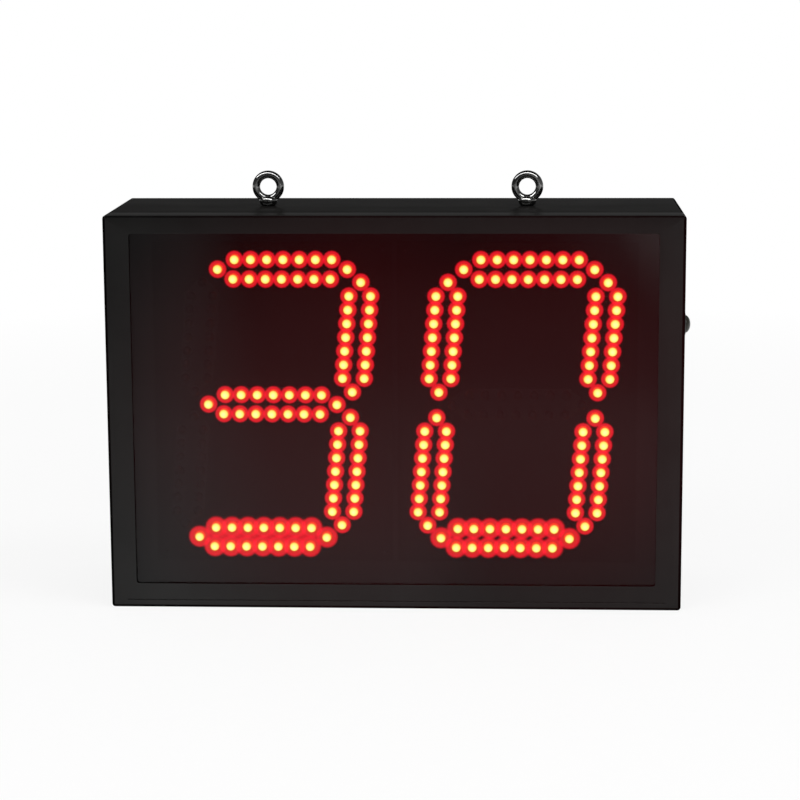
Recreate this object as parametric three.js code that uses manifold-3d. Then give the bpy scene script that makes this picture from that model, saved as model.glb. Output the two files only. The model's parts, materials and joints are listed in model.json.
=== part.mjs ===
// Two-digit shot clock: a folded steel cabinet with a smoked window, lamp boards,
// two lifting eye bolts and a push button in its side.
// Sizes are in millimetres. X runs to the viewer's right, Y to the back and Z up.
// The origin is the middle of the cabinet's underside.
import * as THREE from "three";
import { mergeVertices } from "three/addons/utils/BufferGeometryUtils.js";
import Module from "manifold-3d";

const wasm = await Module();
wasm.setup();

// Clearances and facets
const fitGap = 0.3;
const cutOverrun = 2;
const weldDistance = 0.001;
const cornerSteps = 2;
const roundSides = 14;
const smallSides = 8;
const lampSides = 6;

// Cabinet of folded sheet
const cabinetWidth = 600;
const cabinetHeight = 415.5;
const cabinetDepth = 190;
const sheetThickness = 1.5;
const cornerRadius = 3;
const leastCornerShare = 0.2;
const rearFlangeWidth = 18;

// Front bezel, window, gasket and retainer
const bezelDepth = 32;
const bezelSeam = 0.5;
const bezelSideBorder = 27;
const bezelTopBorder = 18.5;
const bezelBottomBorder = 26;
const bezelEdgeRadius = 2;
const bezelGrooveHeight = 7.6;
const bezelGrooveWidth = 0.6;
const bezelGrooveDepth = 0.4;
const bezelGrooveInset = 17;
const windowCornerRadius = 2;
const windowThickness = 3;
const windowOverlap = 11;
const gasketThickness = 1;
const gasketReveal = 0.5;
const retainerReveal = 3;
const retainerFlange = 8;

// Chassis plate
const chassisThickness = 1.5;
const chassisFlangeDepth = 25;
const chassisFlangeEndInset = 30;
const bossRadius = 4;
const bossPinRadius = 1.4;
const bossPinProtrusion = 1.5;
const headerWindowMargin = 6;

// Digit boards and lamps, which keep their shares of the cabinet and its window opening
const openingHeight = cabinetHeight - bezelTopBorder - bezelBottomBorder;
const digitSpacingShare = 0.426;
const digitSpacing = cabinetWidth * digitSpacingShare;
const digitCentreShare = 0.5108;
const digitCentreHeight = bezelBottomBorder + openingHeight * digitCentreShare;
const digitSlant = 0.0844;
const boardGap = 5.6;
const boardWidth = digitSpacing - boardGap;
const boardEndMargin = 15.5;
const boardHeight = openingHeight - 2 * boardEndMargin;
const boardThickness = 1.6;
const boardHoleInset = 9;
const headerLength = 22;
const headerWidth = 9;
const headerHeight = 9;
const headerInset = 85;
const lampPitchAcrossShare = 0.06748;
const lampPitchAcross = boardWidth * lampPitchAcrossShare;
const lampPitchUpShare = 0.04244;
const lampPitchUp = boardHeight * lampPitchUpShare;
const lampRowOffset = 10.18;
const lampColumnOffset = 11.31;
const lampsEachSide = 3;
const segmentRiseShare = 0.41882;
const segmentRise = boardHeight * segmentRiseShare;
const segmentSideShare = 0.3304;
const segmentSidePlace = boardWidth * segmentSideShare;
const lampRadius = 5;
const lampHeight = 13.2;
const lampShoulder = 9;
const lampCrownShare = 0.5;
const lampToWindow = 6.4;
const stripThickness = 3;
const stripMargin = 6.8;

// Lifting eye bolts
const eyeboltSpacingShare = 0.46;
const eyeboltSpacing = cabinetWidth * eyeboltSpacingShare;
const eyeboltSetback = 10;
const eyeRingRadius = 13.5;
const eyeSectionRadius = 3.5;
const eyeCentreHeight = 20;
const eyeCollarRadius = 10;
const eyeCollarHeight = 4.2;
const eyeNeckRadius = 7;
const eyeNeckHeight = 8.4;
const eyeRingSteps = 20;
const eyeSectionSides = 8;
const shankRadius = 4;
const shankLength = 17;
const spreaderLength = 60;
const spreaderWidth = 40;
const spreaderThickness = 3;
const eyeNutRadius = 7.5;
const eyeNutHeight = 6.5;

// Side push button
const buttonHeightShare = 0.698;
const buttonHeight = cabinetHeight * buttonHeightShare;
const buttonSetback = 0;
const buttonTravel = 2.5;
const buttonProtrusion = 12.7;
const buttonCapRadius = 10;
const buttonDomeHeight = 4.6;
const buttonDomeSteps = 4;
const buttonRingRadius = 12.5;
const buttonRingHeight = 6.5;
const buttonFloorThickness = 2;
const buttonBarrelRadius = 8;
const buttonBarrelLength = 26;
const buttonStemRadius = 5;
const buttonNutRadius = 12.5;
const buttonNutThickness = 4;
const switchWidth = 17;
const switchLength = 18;
const switchTabLength = 7;
const switchTabWidth = 5;
const switchTabThickness = 0.8;

// Screws
const screwRadius = 2;
const screwHeadRadius = 3.8;
const screwHeadHeight = 2.2;
const screwCrownShare = 0.7;
const screwLength = 8;
const clinchNutRadius = 4;
const clinchNutHeight = 3;
const rearScrewInset = 10;
const chassisScrewHeight = 90;
const bezelScrewShare = 0.3;
const bezelScrewPlace = cabinetWidth * bezelScrewShare;
const bezelScrewRadius = 1.5;
const bezelScrewHeadRadius = 2.9;
const bezelScrewHeadHeight = 1.2;
const bezelScrewLength = 7;

// Rear cover with vents and sounder grille
const coverInset = 1;
const ventLength = 60;
const ventHeight = 4;
const ventPitch = 10;
const ventsEachBank = 6;
const ventBankShare = 0.22;
const ventBankPlace = cabinetWidth * ventBankShare;
const ventBankDrop = 83;
const ventBankHeight = cabinetHeight - ventBankDrop;
const sounderInset = 140;
const sounderPlace = sounderInset - cabinetWidth / 2;
const sounderHeight = 110;
const sounderRadius = 30;
const sounderDepth = 26;
const sounderFlangeRadius = 36;
const sounderFlangeThickness = 3;
const grilleHoleRadius = 3;
const grilleRingRadius = 14;
const grilleHoles = 8;

// Mains module with socket, fuse drawer and rocker
const moduleInset = 95;
const modulePlace = cabinetWidth / 2 - moduleInset;
const moduleCentreHeight = 72;
const moduleWidth = 31;
const moduleHeight = 64;
const moduleDepth = 21;
const moduleFlangeMargin = 3;
const moduleFlangeThickness = 2;
const socketDrop = 17;
const socketWidth = 24.5;
const socketHeight = 16.5;
const socketDepth = 18;
const socketChamfer = 4;
const pinWidth = 2;
const pinHeight = 4;
const pinSpacing = 14;
const earthPinRise = 4;
const pinRecess = 4.6;
const drawerRise = 3.5;
const drawerWidth = 24;
const drawerHeight = 8;
const drawerDepth = 14;
const drawerFaceMargin = 1.2;
const drawerFaceThickness = 2;
const drawerWall = 1.4;
const fuseRadius = 2.6;
const fuseLength = 20;
const rockerRise = 20.5;
const rockerWidth = 20;
const rockerHeight = 13;
const rockerEndProud = 3.4;
const rockerMiddleProud = 2.2;
const rockerPivotDepth = 3;
const rockerBelow = 3;
const rockerHeelShare = 0.8;
const rockerTiltDegrees = 9;
const trunnionRadius = 1.2;
const trunnionLength = 1;

// Controller, receiver and power supply
const controllerWidth = 120;
const controllerHeight = 90;
const controllerRise = 37;
const controllerCentreHeight = digitCentreHeight + controllerRise;
const controllerBossHeight = 6;
const controllerHoleInset = 5;
const chipWidth = 18;
const chipThickness = 2.4;
const controllerHeaderInset = 14;
const controllerHeaderHeight = 6;
const terminalWidth = 36;
const terminalHeight = 11;
const terminalThickness = 10;
const terminalWells = 6;
const terminalWellWidth = 3.2;
const terminalWellDepth = 4;
const receiverWidth = 30;
const receiverHeight = 20;
const receiverThickness = 4;
const receiverDrop = 22;
const supplyWidth = 99;
const supplyHeight = 82;
const supplyThickness = 30;
const supplyBottom = 40;
const supplyBayDepth = 15;
const supplyBayShare = 0.6;
const supplyTerminals = 7;
const supplyFinThickness = 1.6;
const supplyStripWidth = 78;

// Cables inside the cabinet
const ribbonWidth = 20;
const ribbonThickness = 1.4;
const ribbonRise = 14;
const plugWidth = 8;
const plugHeight = 7;
const mainsLeadRadius = 3.5;
const mainsLeadPlace = 28;
const mainsLeadStraight = 8;
const mainsLeadArch = 24;
const supplyLeadRadius = 2.5;
const supplyLeadPlace = -12;
const supplyLeadEndPlace = -10;
const supplyLeadStraight = 7.5;
const supplyLeadBow = 6;
const leadSides = 6;
const leadSteps = 16;

// Planes worked out from the sizes, front to back
const frontY = -cabinetDepth / 2;
const backY = cabinetDepth / 2;
const gasketFrontY = frontY + sheetThickness + fitGap;
const windowFrontY = gasketFrontY + gasketThickness + fitGap;
const windowBackY = windowFrontY + windowThickness;
const retainerFrontY = windowBackY + fitGap;
const retainerBackY = retainerFrontY + sheetThickness;
const lipFrontY = retainerBackY + fitGap;
const bodyFrontY = frontY + bezelDepth + bezelSeam;
const joggleBackY = bodyFrontY + sheetThickness;
const coverFrontY = backY - sheetThickness;
const bodyBackY = coverFrontY - fitGap;
const stripBackY = windowBackY + lampToWindow + lampHeight;
const boardFrontY = stripBackY + fitGap;
const boardBackY = boardFrontY + boardThickness;
const chassisFrontY = joggleBackY + fitGap;
const chassisBackY = chassisFrontY + chassisThickness;
const controllerFrontY = chassisBackY + controllerBossHeight + fitGap;
const controllerBackY = controllerFrontY + boardThickness;
const supplyFrontY = chassisBackY + fitGap;
const supplyStripDepth = supplyThickness * supplyBayShare / 2;
const supplyStripY = supplyFrontY + supplyThickness * (1 - supplyBayShare) + fitGap;
const supplyTop = supplyBottom + supplyHeight;
const terminalBottom = controllerCentreHeight - controllerHeight / 2;
const lipInset = sheetThickness + fitGap;
const insideHalfWidth = cabinetWidth / 2 - sheetThickness;

// Directions that a turned piece can run along
const rightward = new THREE.Vector3(1, 0, 0);
const leftward = new THREE.Vector3(-1, 0, 0);
const backward = new THREE.Vector3(0, 1, 0);
const forward = new THREE.Vector3(0, -1, 0);
const upward = new THREE.Vector3(0, 0, 1);
const downward = new THREE.Vector3(0, 0, -1);

// Turns a closed three.js geometry into a solid that can be joined and cut.
function solid(geometry) {
  const bare = geometry.clone();
  bare.deleteAttribute("normal");
  bare.deleteAttribute("uv");
  const merged = mergeVertices(bare, weldDistance);
  const kept = [];
  for (let i = 0; i < merged.index.count; i += 3) {
    const [a, b, c] = [0, 1, 2].map((corner) => merged.index.getX(i + corner));
    if (a !== b && b !== c && c !== a) kept.push(a, b, c);
  }
  const vertProperties = new Float32Array(merged.attributes.position.array);
  const triVerts = new Uint32Array(kept);
  return new wasm.Manifold(new wasm.Mesh({ numProp: 3, vertProperties, triVerts }));
}

// Gives a finished solid back as a geometry with flat faces.
function geometryOf(shape) {
  const mesh = shape.getMesh();
  const indexed = new THREE.BufferGeometry();
  indexed.setAttribute("position", new THREE.BufferAttribute(new Float32Array(mesh.vertProperties), 3));
  indexed.setIndex(new THREE.BufferAttribute(new Uint32Array(mesh.triVerts), 1));
  const geometry = indexed.toNonIndexed();
  geometry.computeVertexNormals();
  return geometry;
}

function joined(shapes) {
  return shapes.reduce((whole, shape) => whole.add(shape));
}

function cut(shape, cutters) {
  return cutters.reduce((rest, cutter) => rest.subtract(cutter), shape);
}

// A box between two corners, given as ranges along each axis.
function box([xLow, xHigh], [yLow, yHigh], [zLow, zHigh]) {
  const geometry = new THREE.BoxGeometry(xHigh - xLow, yHigh - yLow, zHigh - zLow);
  geometry.translate((xLow + xHigh) / 2, (yLow + yHigh) / 2, (zLow + zHigh) / 2);
  return solid(geometry);
}

function around(middle, size) {
  return [middle - size / 2, middle + size / 2];
}

function roundedRectangle(halfWidth, low, high, radius) {
  const outline = new THREE.Shape();
  outline.moveTo(halfWidth, low + radius);
  outline.absarc(halfWidth - radius, high - radius, radius, 0, Math.PI / 2, false);
  outline.absarc(radius - halfWidth, high - radius, radius, Math.PI / 2, Math.PI, false);
  outline.absarc(radius - halfWidth, low + radius, radius, Math.PI, Math.PI * 1.5, false);
  outline.absarc(halfWidth - radius, low + radius, radius, Math.PI * 1.5, Math.PI * 2, false);
  return outline;
}

function polygon(points) {
  return new THREE.Shape(points.map(([x, y]) => new THREE.Vector2(x, y)));
}

// An outline drawn in X and Z, extruded from one Y plane to another further back.
function slab(outline, yLow, yHigh) {
  const options = { depth: yHigh - yLow, bevelEnabled: false, curveSegments: cornerSteps };
  const geometry = new THREE.ExtrudeGeometry(outline, options);
  geometry.rotateX(Math.PI / 2);
  geometry.translate(0, yHigh, 0);
  return solid(geometry);
}

// An outline drawn in Y and Z, extruded from one X plane to another further right.
function prismAcross(points, xLow, xHigh) {
  const geometry = new THREE.ExtrudeGeometry(polygon(points), { depth: xHigh - xLow, bevelEnabled: false });
  geometry.applyMatrix4(new THREE.Matrix4().makeBasis(backward, upward, rightward));
  geometry.translate(xLow, 0, 0);
  return solid(geometry);
}

// An outline drawn in X and Y, extruded from one Z plane to another further up.
function prismUp(points, zLow, zHigh) {
  const geometry = new THREE.ExtrudeGeometry(polygon(points), { depth: zHigh - zLow, bevelEnabled: false });
  geometry.translate(0, 0, zLow);
  return solid(geometry);
}

// A turned solid: its profile lists radius and distance along the direction, from axis to axis.
function turned(profile, direction, start, sides) {
  const points = profile.map(([radius, distance]) => new THREE.Vector2(radius, distance));
  const geometry = new THREE.LatheGeometry(points, sides);
  geometry.applyQuaternion(new THREE.Quaternion().setFromUnitVectors(backward, direction));
  geometry.translate(...start);
  return solid(geometry);
}

function rod(radius, length, direction, start, sides = roundSides) {
  return turned([[0, 0], [radius, 0], [radius, length], [0, length]], direction, start, sides);
}

// A hole drilled along a direction, which runs past both ends of the length it is given.
function drill(radius, length, direction, start, sides = roundSides) {
  const begin = new THREE.Vector3(...start).addScaledVector(direction, -cutOverrun);
  return rod(radius, length + 2 * cutOverrun, direction, begin.toArray(), sides);
}

function leadAlong(points, radius) {
  const path = new THREE.CatmullRomCurve3(points.map(([x, y, z]) => new THREE.Vector3(x, y, z)));
  const section = new THREE.Shape();
  section.absarc(0, 0, radius, 0, Math.PI * 2, false);
  const geometry = new THREE.ExtrudeGeometry(section, {
    steps: leadSteps,
    curveSegments: leadSides / 2,
    extrudePath: path,
    bevelEnabled: false,
  });
  return solid(geometry);
}

// Finishes, one new material for each piece
const finishes = {
  paintedSteel: { color: 0x2a2827, roughness: 0.42, metalness: 0.3 },
  smokedPane: { color: 0x1b1012, roughness: 0.06, metalness: 0, transparent: true, opacity: 0.35 },
  foam: { color: 0x0d0d0d, roughness: 0.95, metalness: 0 },
  plainSteel: { color: 0x9a9c9e, roughness: 0.38, metalness: 0.9 },
  aluminium: { color: 0x3a3a3c, roughness: 0.5, metalness: 0.6 },
  boardBlack: { color: 0x101211, roughness: 0.55, metalness: 0 },
  boardGreen: { color: 0x1d5a34, roughness: 0.5, metalness: 0 },
  litLamp: { color: 0xff3a1c, roughness: 0.25, metalness: 0, emissive: 0xff2412 },
  darkLamp: { color: 0x3a0a0a, roughness: 0.25, metalness: 0 },
  darkPlating: { color: 0x5c5c5e, roughness: 0.12, metalness: 1 },
  blackPlastic: { color: 0x1b1b1b, roughness: 0.45, metalness: 0 },
  buttonCap: { color: 0x35352f, roughness: 0.4, metalness: 0 },
  rockerRed: { color: 0x8c1414, roughness: 0.35, metalness: 0 },
  terminalGreen: { color: 0x1f7a48, roughness: 0.5, metalness: 0 },
  fuseGlass: { color: 0xb9c4c6, roughness: 0.15, metalness: 0.2 },
  ribbonGrey: { color: 0x8f9396, roughness: 0.6, metalness: 0 },
  leadGrey: { color: 0x3b3d40, roughness: 0.6, metalness: 0 },
};

const shotClock = new THREE.Group();

function addGroup(parent, place) {
  const group = new THREE.Group();
  group.position.set(...place);
  parent.add(group);
  return group;
}

function addPiece(parent, name, shape, finish, place = [0, 0, 0]) {
  const mesh = new THREE.Mesh(geometryOf(shape), new THREE.MeshStandardMaterial(finishes[finish]));
  mesh.name = name;
  mesh.position.set(...place);
  parent.add(mesh);
  return mesh;
}

// Outlines that the cabinet's pieces share
function cabinetOutline(inset) {
  const radius = Math.max(cornerRadius - inset, leastCornerShare * cornerRadius);
  return roundedRectangle(cabinetWidth / 2 - inset, inset, cabinetHeight - inset, radius);
}

function windowOutline(margin) {
  const halfWidth = cabinetWidth / 2 - bezelSideBorder + margin;
  const low = bezelBottomBorder - margin;
  const high = cabinetHeight - bezelTopBorder + margin;
  return roundedRectangle(halfWidth, low, high, windowCornerRadius);
}

// Places of the fasteners, which the pieces that they hold share
const rearScrewX = cabinetWidth / 2 - rearScrewInset;
const rearScrews = [
  { name: "low_left", x: -rearScrewX, z: rearScrewInset },
  { name: "low_middle", x: 0, z: rearScrewInset },
  { name: "low_right", x: rearScrewX, z: rearScrewInset },
  { name: "high_left", x: -rearScrewX, z: cabinetHeight - rearScrewInset },
  { name: "high_middle", x: 0, z: cabinetHeight - rearScrewInset },
  { name: "high_right", x: rearScrewX, z: cabinetHeight - rearScrewInset },
];
const chassisScrewY = chassisFrontY + chassisFlangeDepth / 2;
const chassisScrews = [
  { name: "low_left", side: -1, z: chassisScrewHeight },
  { name: "low_right", side: 1, z: chassisScrewHeight },
  { name: "high_left", side: -1, z: cabinetHeight - chassisScrewHeight },
  { name: "high_right", side: 1, z: cabinetHeight - chassisScrewHeight },
];
const bezelScrewY = (lipFrontY + frontY + bezelDepth) / 2;
const bezelScrews = [
  { name: "left", x: -bezelScrewPlace },
  { name: "right", x: bezelScrewPlace },
];
const eyebolts = [
  { name: "left", x: -eyeboltSpacing / 2 },
  { name: "right", x: eyeboltSpacing / 2 },
];
const digits = [
  { name: "left", side: -1, lit: "abcdg" },
  { name: "right", side: 1, lit: "abcdef" },
];

function outwardFrom(side) {
  return side > 0 ? rightward : leftward;
}

// Cabinet body: a wrapped tube with a rear flange and, in front, a stepped lip that goes inside the bezel.
function cabinetBody() {
  const shell = joined([
    slab(cabinetOutline(0), bodyFrontY, bodyBackY),
    slab(cabinetOutline(lipInset), lipFrontY, joggleBackY),
  ]);
  const hollowed = cut(shell, [
    slab(cabinetOutline(sheetThickness), joggleBackY, bodyBackY - sheetThickness),
    slab(cabinetOutline(lipInset + sheetThickness), lipFrontY - cutOverrun, joggleBackY + cutOverrun),
    slab(cabinetOutline(rearFlangeWidth), bodyBackY - sheetThickness - cutOverrun, bodyBackY + cutOverrun),
  ]);
  const sunk = sheetThickness / 2;
  const nutLength = clinchNutHeight + sunk;
  const nutDepth = clinchNutHeight + sheetThickness;
  const nuts = [];
  const holes = [];
  for (const { x, z } of rearScrews) {
    nuts.push(rod(clinchNutRadius, nutLength, forward, [x, bodyBackY - sunk, z], smallSides));
    holes.push(drill(screwRadius + fitGap, nutDepth, forward, [x, bodyBackY, z], smallSides));
  }
  for (const { x } of bezelScrews) {
    nuts.push(rod(clinchNutRadius, nutLength, upward, [x, bezelScrewY, lipInset + sunk], smallSides));
    holes.push(drill(bezelScrewRadius + fitGap, nutDepth, upward, [x, bezelScrewY, lipInset], smallSides));
  }
  for (const { side, z } of chassisScrews) {
    const start = [side * insideHalfWidth, chassisScrewY, z];
    holes.push(drill(screwRadius + fitGap, sheetThickness, outwardFrom(side), start, smallSides));
  }
  for (const { x } of eyebolts) {
    const start = [x, eyeboltSetback, cabinetHeight - sheetThickness];
    holes.push(drill(shankRadius + fitGap, sheetThickness, upward, start));
  }
  const buttonStart = [insideHalfWidth, buttonSetback, buttonHeight];
  holes.push(drill(buttonBarrelRadius + fitGap, sheetThickness, rightward, buttonStart));
  return cut(joined([hollowed, ...nuts]), holes);
}

// Front bezel: a folded frame with rounded front edges and flanges that slide over the cabinet's lip.
function frontBezel() {
  const options = {
    depth: bezelDepth,
    bevelThickness: bezelEdgeRadius,
    bevelSize: bezelEdgeRadius,
    bevelOffset: -bezelEdgeRadius,
    bevelSegments: cornerSteps,
    curveSegments: cornerSteps,
  };
  const block = new THREE.ExtrudeGeometry(cabinetOutline(0), options);
  block.rotateX(Math.PI / 2);
  block.translate(0, frontY + bezelDepth + bezelEdgeRadius, 0);
  const flangeBackY = frontY + bezelDepth;
  const grooveHalf = cabinetWidth / 2 - bezelGrooveInset;
  const wide = cabinetWidth / 2 + cutOverrun;
  const cutters = [
    box([-wide, wide], [flangeBackY, flangeBackY + 2 * bezelEdgeRadius + cutOverrun],
      [-cutOverrun, cabinetHeight + cutOverrun]),
    slab(cabinetOutline(sheetThickness), frontY + sheetThickness, flangeBackY + cutOverrun),
    slab(windowOutline(0), frontY - cutOverrun, frontY + sheetThickness + cutOverrun),
    box([-grooveHalf, grooveHalf], [frontY - cutOverrun, frontY + bezelGrooveDepth],
      around(bezelGrooveHeight, bezelGrooveWidth)),
  ];
  const sinkProfile = [
    [0, -cutOverrun],
    [bezelScrewHeadRadius + fitGap, -cutOverrun],
    [bezelScrewHeadRadius + fitGap, 0],
    [bezelScrewRadius + fitGap, bezelScrewHeadHeight],
    [0, bezelScrewHeadHeight],
  ];
  for (const { x } of bezelScrews) {
    const place = [x, bezelScrewY, 0];
    cutters.push(drill(bezelScrewRadius + fitGap, sheetThickness, upward, place, smallSides));
    cutters.push(turned(sinkProfile, upward, place, smallSides));
  }
  return cut(solid(block), cutters);
}

function windowGasket() {
  const ring = slab(windowOutline(windowOverlap), gasketFrontY, gasketFrontY + gasketThickness);
  return ring.subtract(slab(windowOutline(gasketReveal), gasketFrontY - cutOverrun, windowBackY));
}

function windowRetainer() {
  const flangeBackY = retainerFrontY + retainerFlange;
  const plate = slab(cabinetOutline(lipInset), retainerFrontY, retainerBackY);
  const flange = slab(windowOutline(retainerReveal + sheetThickness), retainerFrontY, flangeBackY);
  const opening = slab(windowOutline(retainerReveal), retainerFrontY - cutOverrun, flangeBackY + cutOverrun);
  return plate.add(flange).subtract(opening);
}

// Places of a digit board's four holes, in the frame of its digit
const boardHoles = [-1, 1].flatMap((across) => [-1, 1].map((up) => [
  across * (boardWidth / 2 - boardHoleInset),
  up * (boardHeight / 2 - boardHoleInset),
]));
const controllerHoles = [-1, 1].flatMap((across) => [-1, 1].map((up) => [
  across * (controllerWidth / 2 - controllerHoleInset),
  controllerCentreHeight + up * (controllerHeight / 2 - controllerHoleInset),
]));

function headerPlace(side) {
  return -side * (boardWidth / 2 - headerInset);
}

// Chassis plate: carries the digit boards on pinned bosses in front and the controller behind.
function chassisPlate() {
  const flangeLow = chassisFlangeEndInset;
  const flangeHigh = cabinetHeight - chassisFlangeEndInset;
  const edge = insideHalfWidth - fitGap;
  const boardBossHeight = chassisFrontY - boardBackY - fitGap;
  const pinFromChassis = boardBossHeight + fitGap + boardThickness + bossPinProtrusion;
  const parts = [slab(cabinetOutline(lipInset), chassisFrontY, chassisBackY)];
  const cutters = [];
  for (const side of [-1, 1]) {
    const inner = side * (edge - chassisThickness);
    const range = [Math.min(inner, side * edge), Math.max(inner, side * edge)];
    parts.push(box(range, [chassisFrontY, chassisFrontY + chassisFlangeDepth], [flangeLow, flangeHigh]));
  }
  for (const { side, z } of chassisScrews) {
    const nutEnd = side * (edge - chassisThickness - clinchNutHeight);
    const nutLength = clinchNutHeight + chassisThickness / 2;
    parts.push(rod(clinchNutRadius, nutLength, outwardFrom(side), [nutEnd, chassisScrewY, z], smallSides));
    cutters.push(drill(screwRadius + fitGap, clinchNutHeight + chassisThickness, outwardFrom(side),
      [nutEnd, chassisScrewY, z], smallSides));
  }
  for (const { side } of digits) {
    const centre = side * digitSpacing / 2;
    for (const [x, z] of boardHoles) {
      const place = [centre + x, chassisFrontY + chassisThickness / 2, digitCentreHeight + z];
      parts.push(rod(bossRadius, boardBossHeight + chassisThickness / 2, forward, place, smallSides));
      parts.push(rod(bossPinRadius, pinFromChassis + chassisThickness / 2, forward, place, smallSides));
    }
    cutters.push(box(around(centre + headerPlace(side), headerWidth + 2 * headerWindowMargin),
      [chassisFrontY - cutOverrun, chassisBackY + cutOverrun],
      around(controllerCentreHeight, headerLength + 2 * headerWindowMargin)));
  }
  const controllerBoss = chassisThickness / 2 + controllerBossHeight;
  const controllerPin = controllerBoss + fitGap + boardThickness + bossPinProtrusion;
  for (const [x, z] of controllerHoles) {
    const place = [x, chassisBackY - chassisThickness / 2, z];
    parts.push(rod(bossRadius, controllerBoss, backward, place, smallSides));
    parts.push(rod(bossPinRadius, controllerPin, backward, place, smallSides));
  }
  return cut(joined(parts), cutters);
}

// Digit board, in the frame of its digit: the front face is at Y zero.
function digitBoard(side) {
  const holeRadius = bossPinRadius + fitGap;
  const plate = box(around(0, boardWidth), [0, boardThickness], around(0, boardHeight));
  const header = box(around(headerPlace(side), headerWidth), [0, boardThickness + headerHeight],
    around(controllerRise, headerLength));
  const holes = boardHoles.map(([x, z]) => (
    drill(holeRadius, boardThickness, backward, [x, 0, z], smallSides)
  ));
  return cut(plate.add(header), holes);
}

// Lamp places of one segment about its own middle: two rows and one lamp at each end.
function lampPlaces(lyingDown) {
  const pitch = lyingDown ? lampPitchAcross : lampPitchUp;
  const rowOffset = lyingDown ? lampRowOffset : lampColumnOffset;
  const places = [];
  for (let step = -lampsEachSide; step <= lampsEachSide; step += 1) {
    places.push([step * pitch, -rowOffset], [step * pitch, rowOffset]);
  }
  const end = (lampsEachSide + 1) * pitch;
  places.push([-end, 0], [end, 0]);
  return places.map(([along, aside]) => (lyingDown ? [along, aside] : [aside, along]));
}

function slanted([x, z]) {
  return [x + digitSlant * z, z];
}

// The six-cornered carrier strip follows the lamps of its segment with one margin.
function stripCorners(lyingDown) {
  const pitch = lyingDown ? lampPitchAcross : lampPitchUp;
  const rowOffset = lyingDown ? lampRowOffset : lampColumnOffset;
  const tip = (lampsEachSide + 1) * pitch + stripMargin;
  const shoulder = lampsEachSide * pitch + stripMargin / 2;
  const half = rowOffset + stripMargin;
  const corners = [
    [tip, 0],
    [shoulder, half],
    [-shoulder, half],
    [-tip, 0],
    [-shoulder, -half],
    [shoulder, -half],
  ];
  return corners.map(([along, aside]) => (lyingDown ? [along, aside] : [-aside, along]));
}

function lampSegment(lyingDown) {
  const strip = slab(polygon(stripCorners(lyingDown).map(slanted)), -stripThickness, 0);
  const seat = stripThickness / 2;
  const profile = [
    [0, 0],
    [lampRadius, 0],
    [lampRadius, lampShoulder - seat],
    [lampRadius * lampCrownShare, lampHeight - seat],
    [0, lampHeight - seat],
  ];
  const lamps = lampPlaces(lyingDown).map(slanted).map(([x, z]) => (
    turned(profile, forward, [x, -seat, z], lampSides)
  ));
  return joined([strip, ...lamps]);
}

// The seven segments: across in side places and up in rises from the digit's centre
const segments = [
  { name: "a", lyingDown: true, across: 0, up: 1 },
  { name: "b", lyingDown: false, across: 1, up: 1 / 2 },
  { name: "c", lyingDown: false, across: 1, up: -1 / 2 },
  { name: "d", lyingDown: true, across: 0, up: -1 },
  { name: "e", lyingDown: false, across: -1, up: -1 / 2 },
  { name: "f", lyingDown: false, across: -1, up: 1 / 2 },
  { name: "g", lyingDown: true, across: 0, up: 0 },
];

function addDigit(parent, { name, side, lit }) {
  const digit = addGroup(parent, [side * digitSpacing / 2, boardFrontY, digitCentreHeight]);
  addPiece(digit, `${name}_digit_board`, digitBoard(side), "boardBlack");
  const lying = lampSegment(true);
  const standing = lampSegment(false);
  for (const segment of segments) {
    const [x, z] = slanted([segment.across * segmentSidePlace, segment.up * segmentRise]);
    const finish = lit.includes(segment.name) ? "litLamp" : "darkLamp";
    const shape = segment.lyingDown ? lying : standing;
    addPiece(digit, `${name}_segment_${segment.name}`, shape, finish, [x, -fitGap, z]);
  }
}

// Eye bolt, standing on Z zero with its threaded shank below.
function eyebolt() {
  const ring = new THREE.TorusGeometry(eyeRingRadius, eyeSectionRadius, eyeSectionSides, eyeRingSteps);
  ring.rotateX(Math.PI / 2);
  ring.translate(0, 0, eyeCentreHeight);
  const stem = turned([
    [0, -shankLength],
    [shankRadius, -shankLength],
    [shankRadius, 0],
    [eyeCollarRadius, 0],
    [eyeCollarRadius, eyeCollarHeight],
    [eyeNeckRadius, eyeNeckHeight],
    [0, eyeNeckHeight],
  ], upward, [0, 0, 0], roundSides);
  return stem.add(solid(ring));
}

function eyeboltNut() {
  const hexagon = rod(eyeNutRadius, eyeNutHeight, downward, [0, 0, 0], lampSides);
  return hexagon.subtract(drill(shankRadius + fitGap, eyeNutHeight, downward, [0, 0, 0]));
}

function spreaderPlate() {
  const plate = box(around(0, spreaderLength), around(0, spreaderWidth), [-spreaderThickness, 0]);
  return plate.subtract(drill(shankRadius + fitGap, spreaderThickness, downward, [0, 0, 0]));
}

function addHangingGear(parent) {
  const plateTop = -sheetThickness - fitGap;
  const nutTop = plateTop - spreaderThickness - fitGap;
  for (const { name, x } of eyebolts) {
    const gear = addGroup(parent, [x, eyeboltSetback, cabinetHeight]);
    addPiece(gear, `eyebolt_${name}`, eyebolt(), "darkPlating", [0, 0, fitGap]);
    addPiece(gear, `eyebolt_plate_${name}`, spreaderPlate(), "plainSteel", [0, 0, plateTop]);
    addPiece(gear, `eyebolt_nut_${name}`, eyeboltNut(), "plainSteel", [0, 0, nutTop]);
  }
}

// Push button pieces run along X from the cabinet's outer right face, which is X zero for them.
const buttonFloorX = fitGap + buttonFloorThickness;
const buttonSkirtX = buttonFloorX + fitGap + buttonTravel;
const buttonBarrelEndX = fitGap - buttonBarrelLength;

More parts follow.
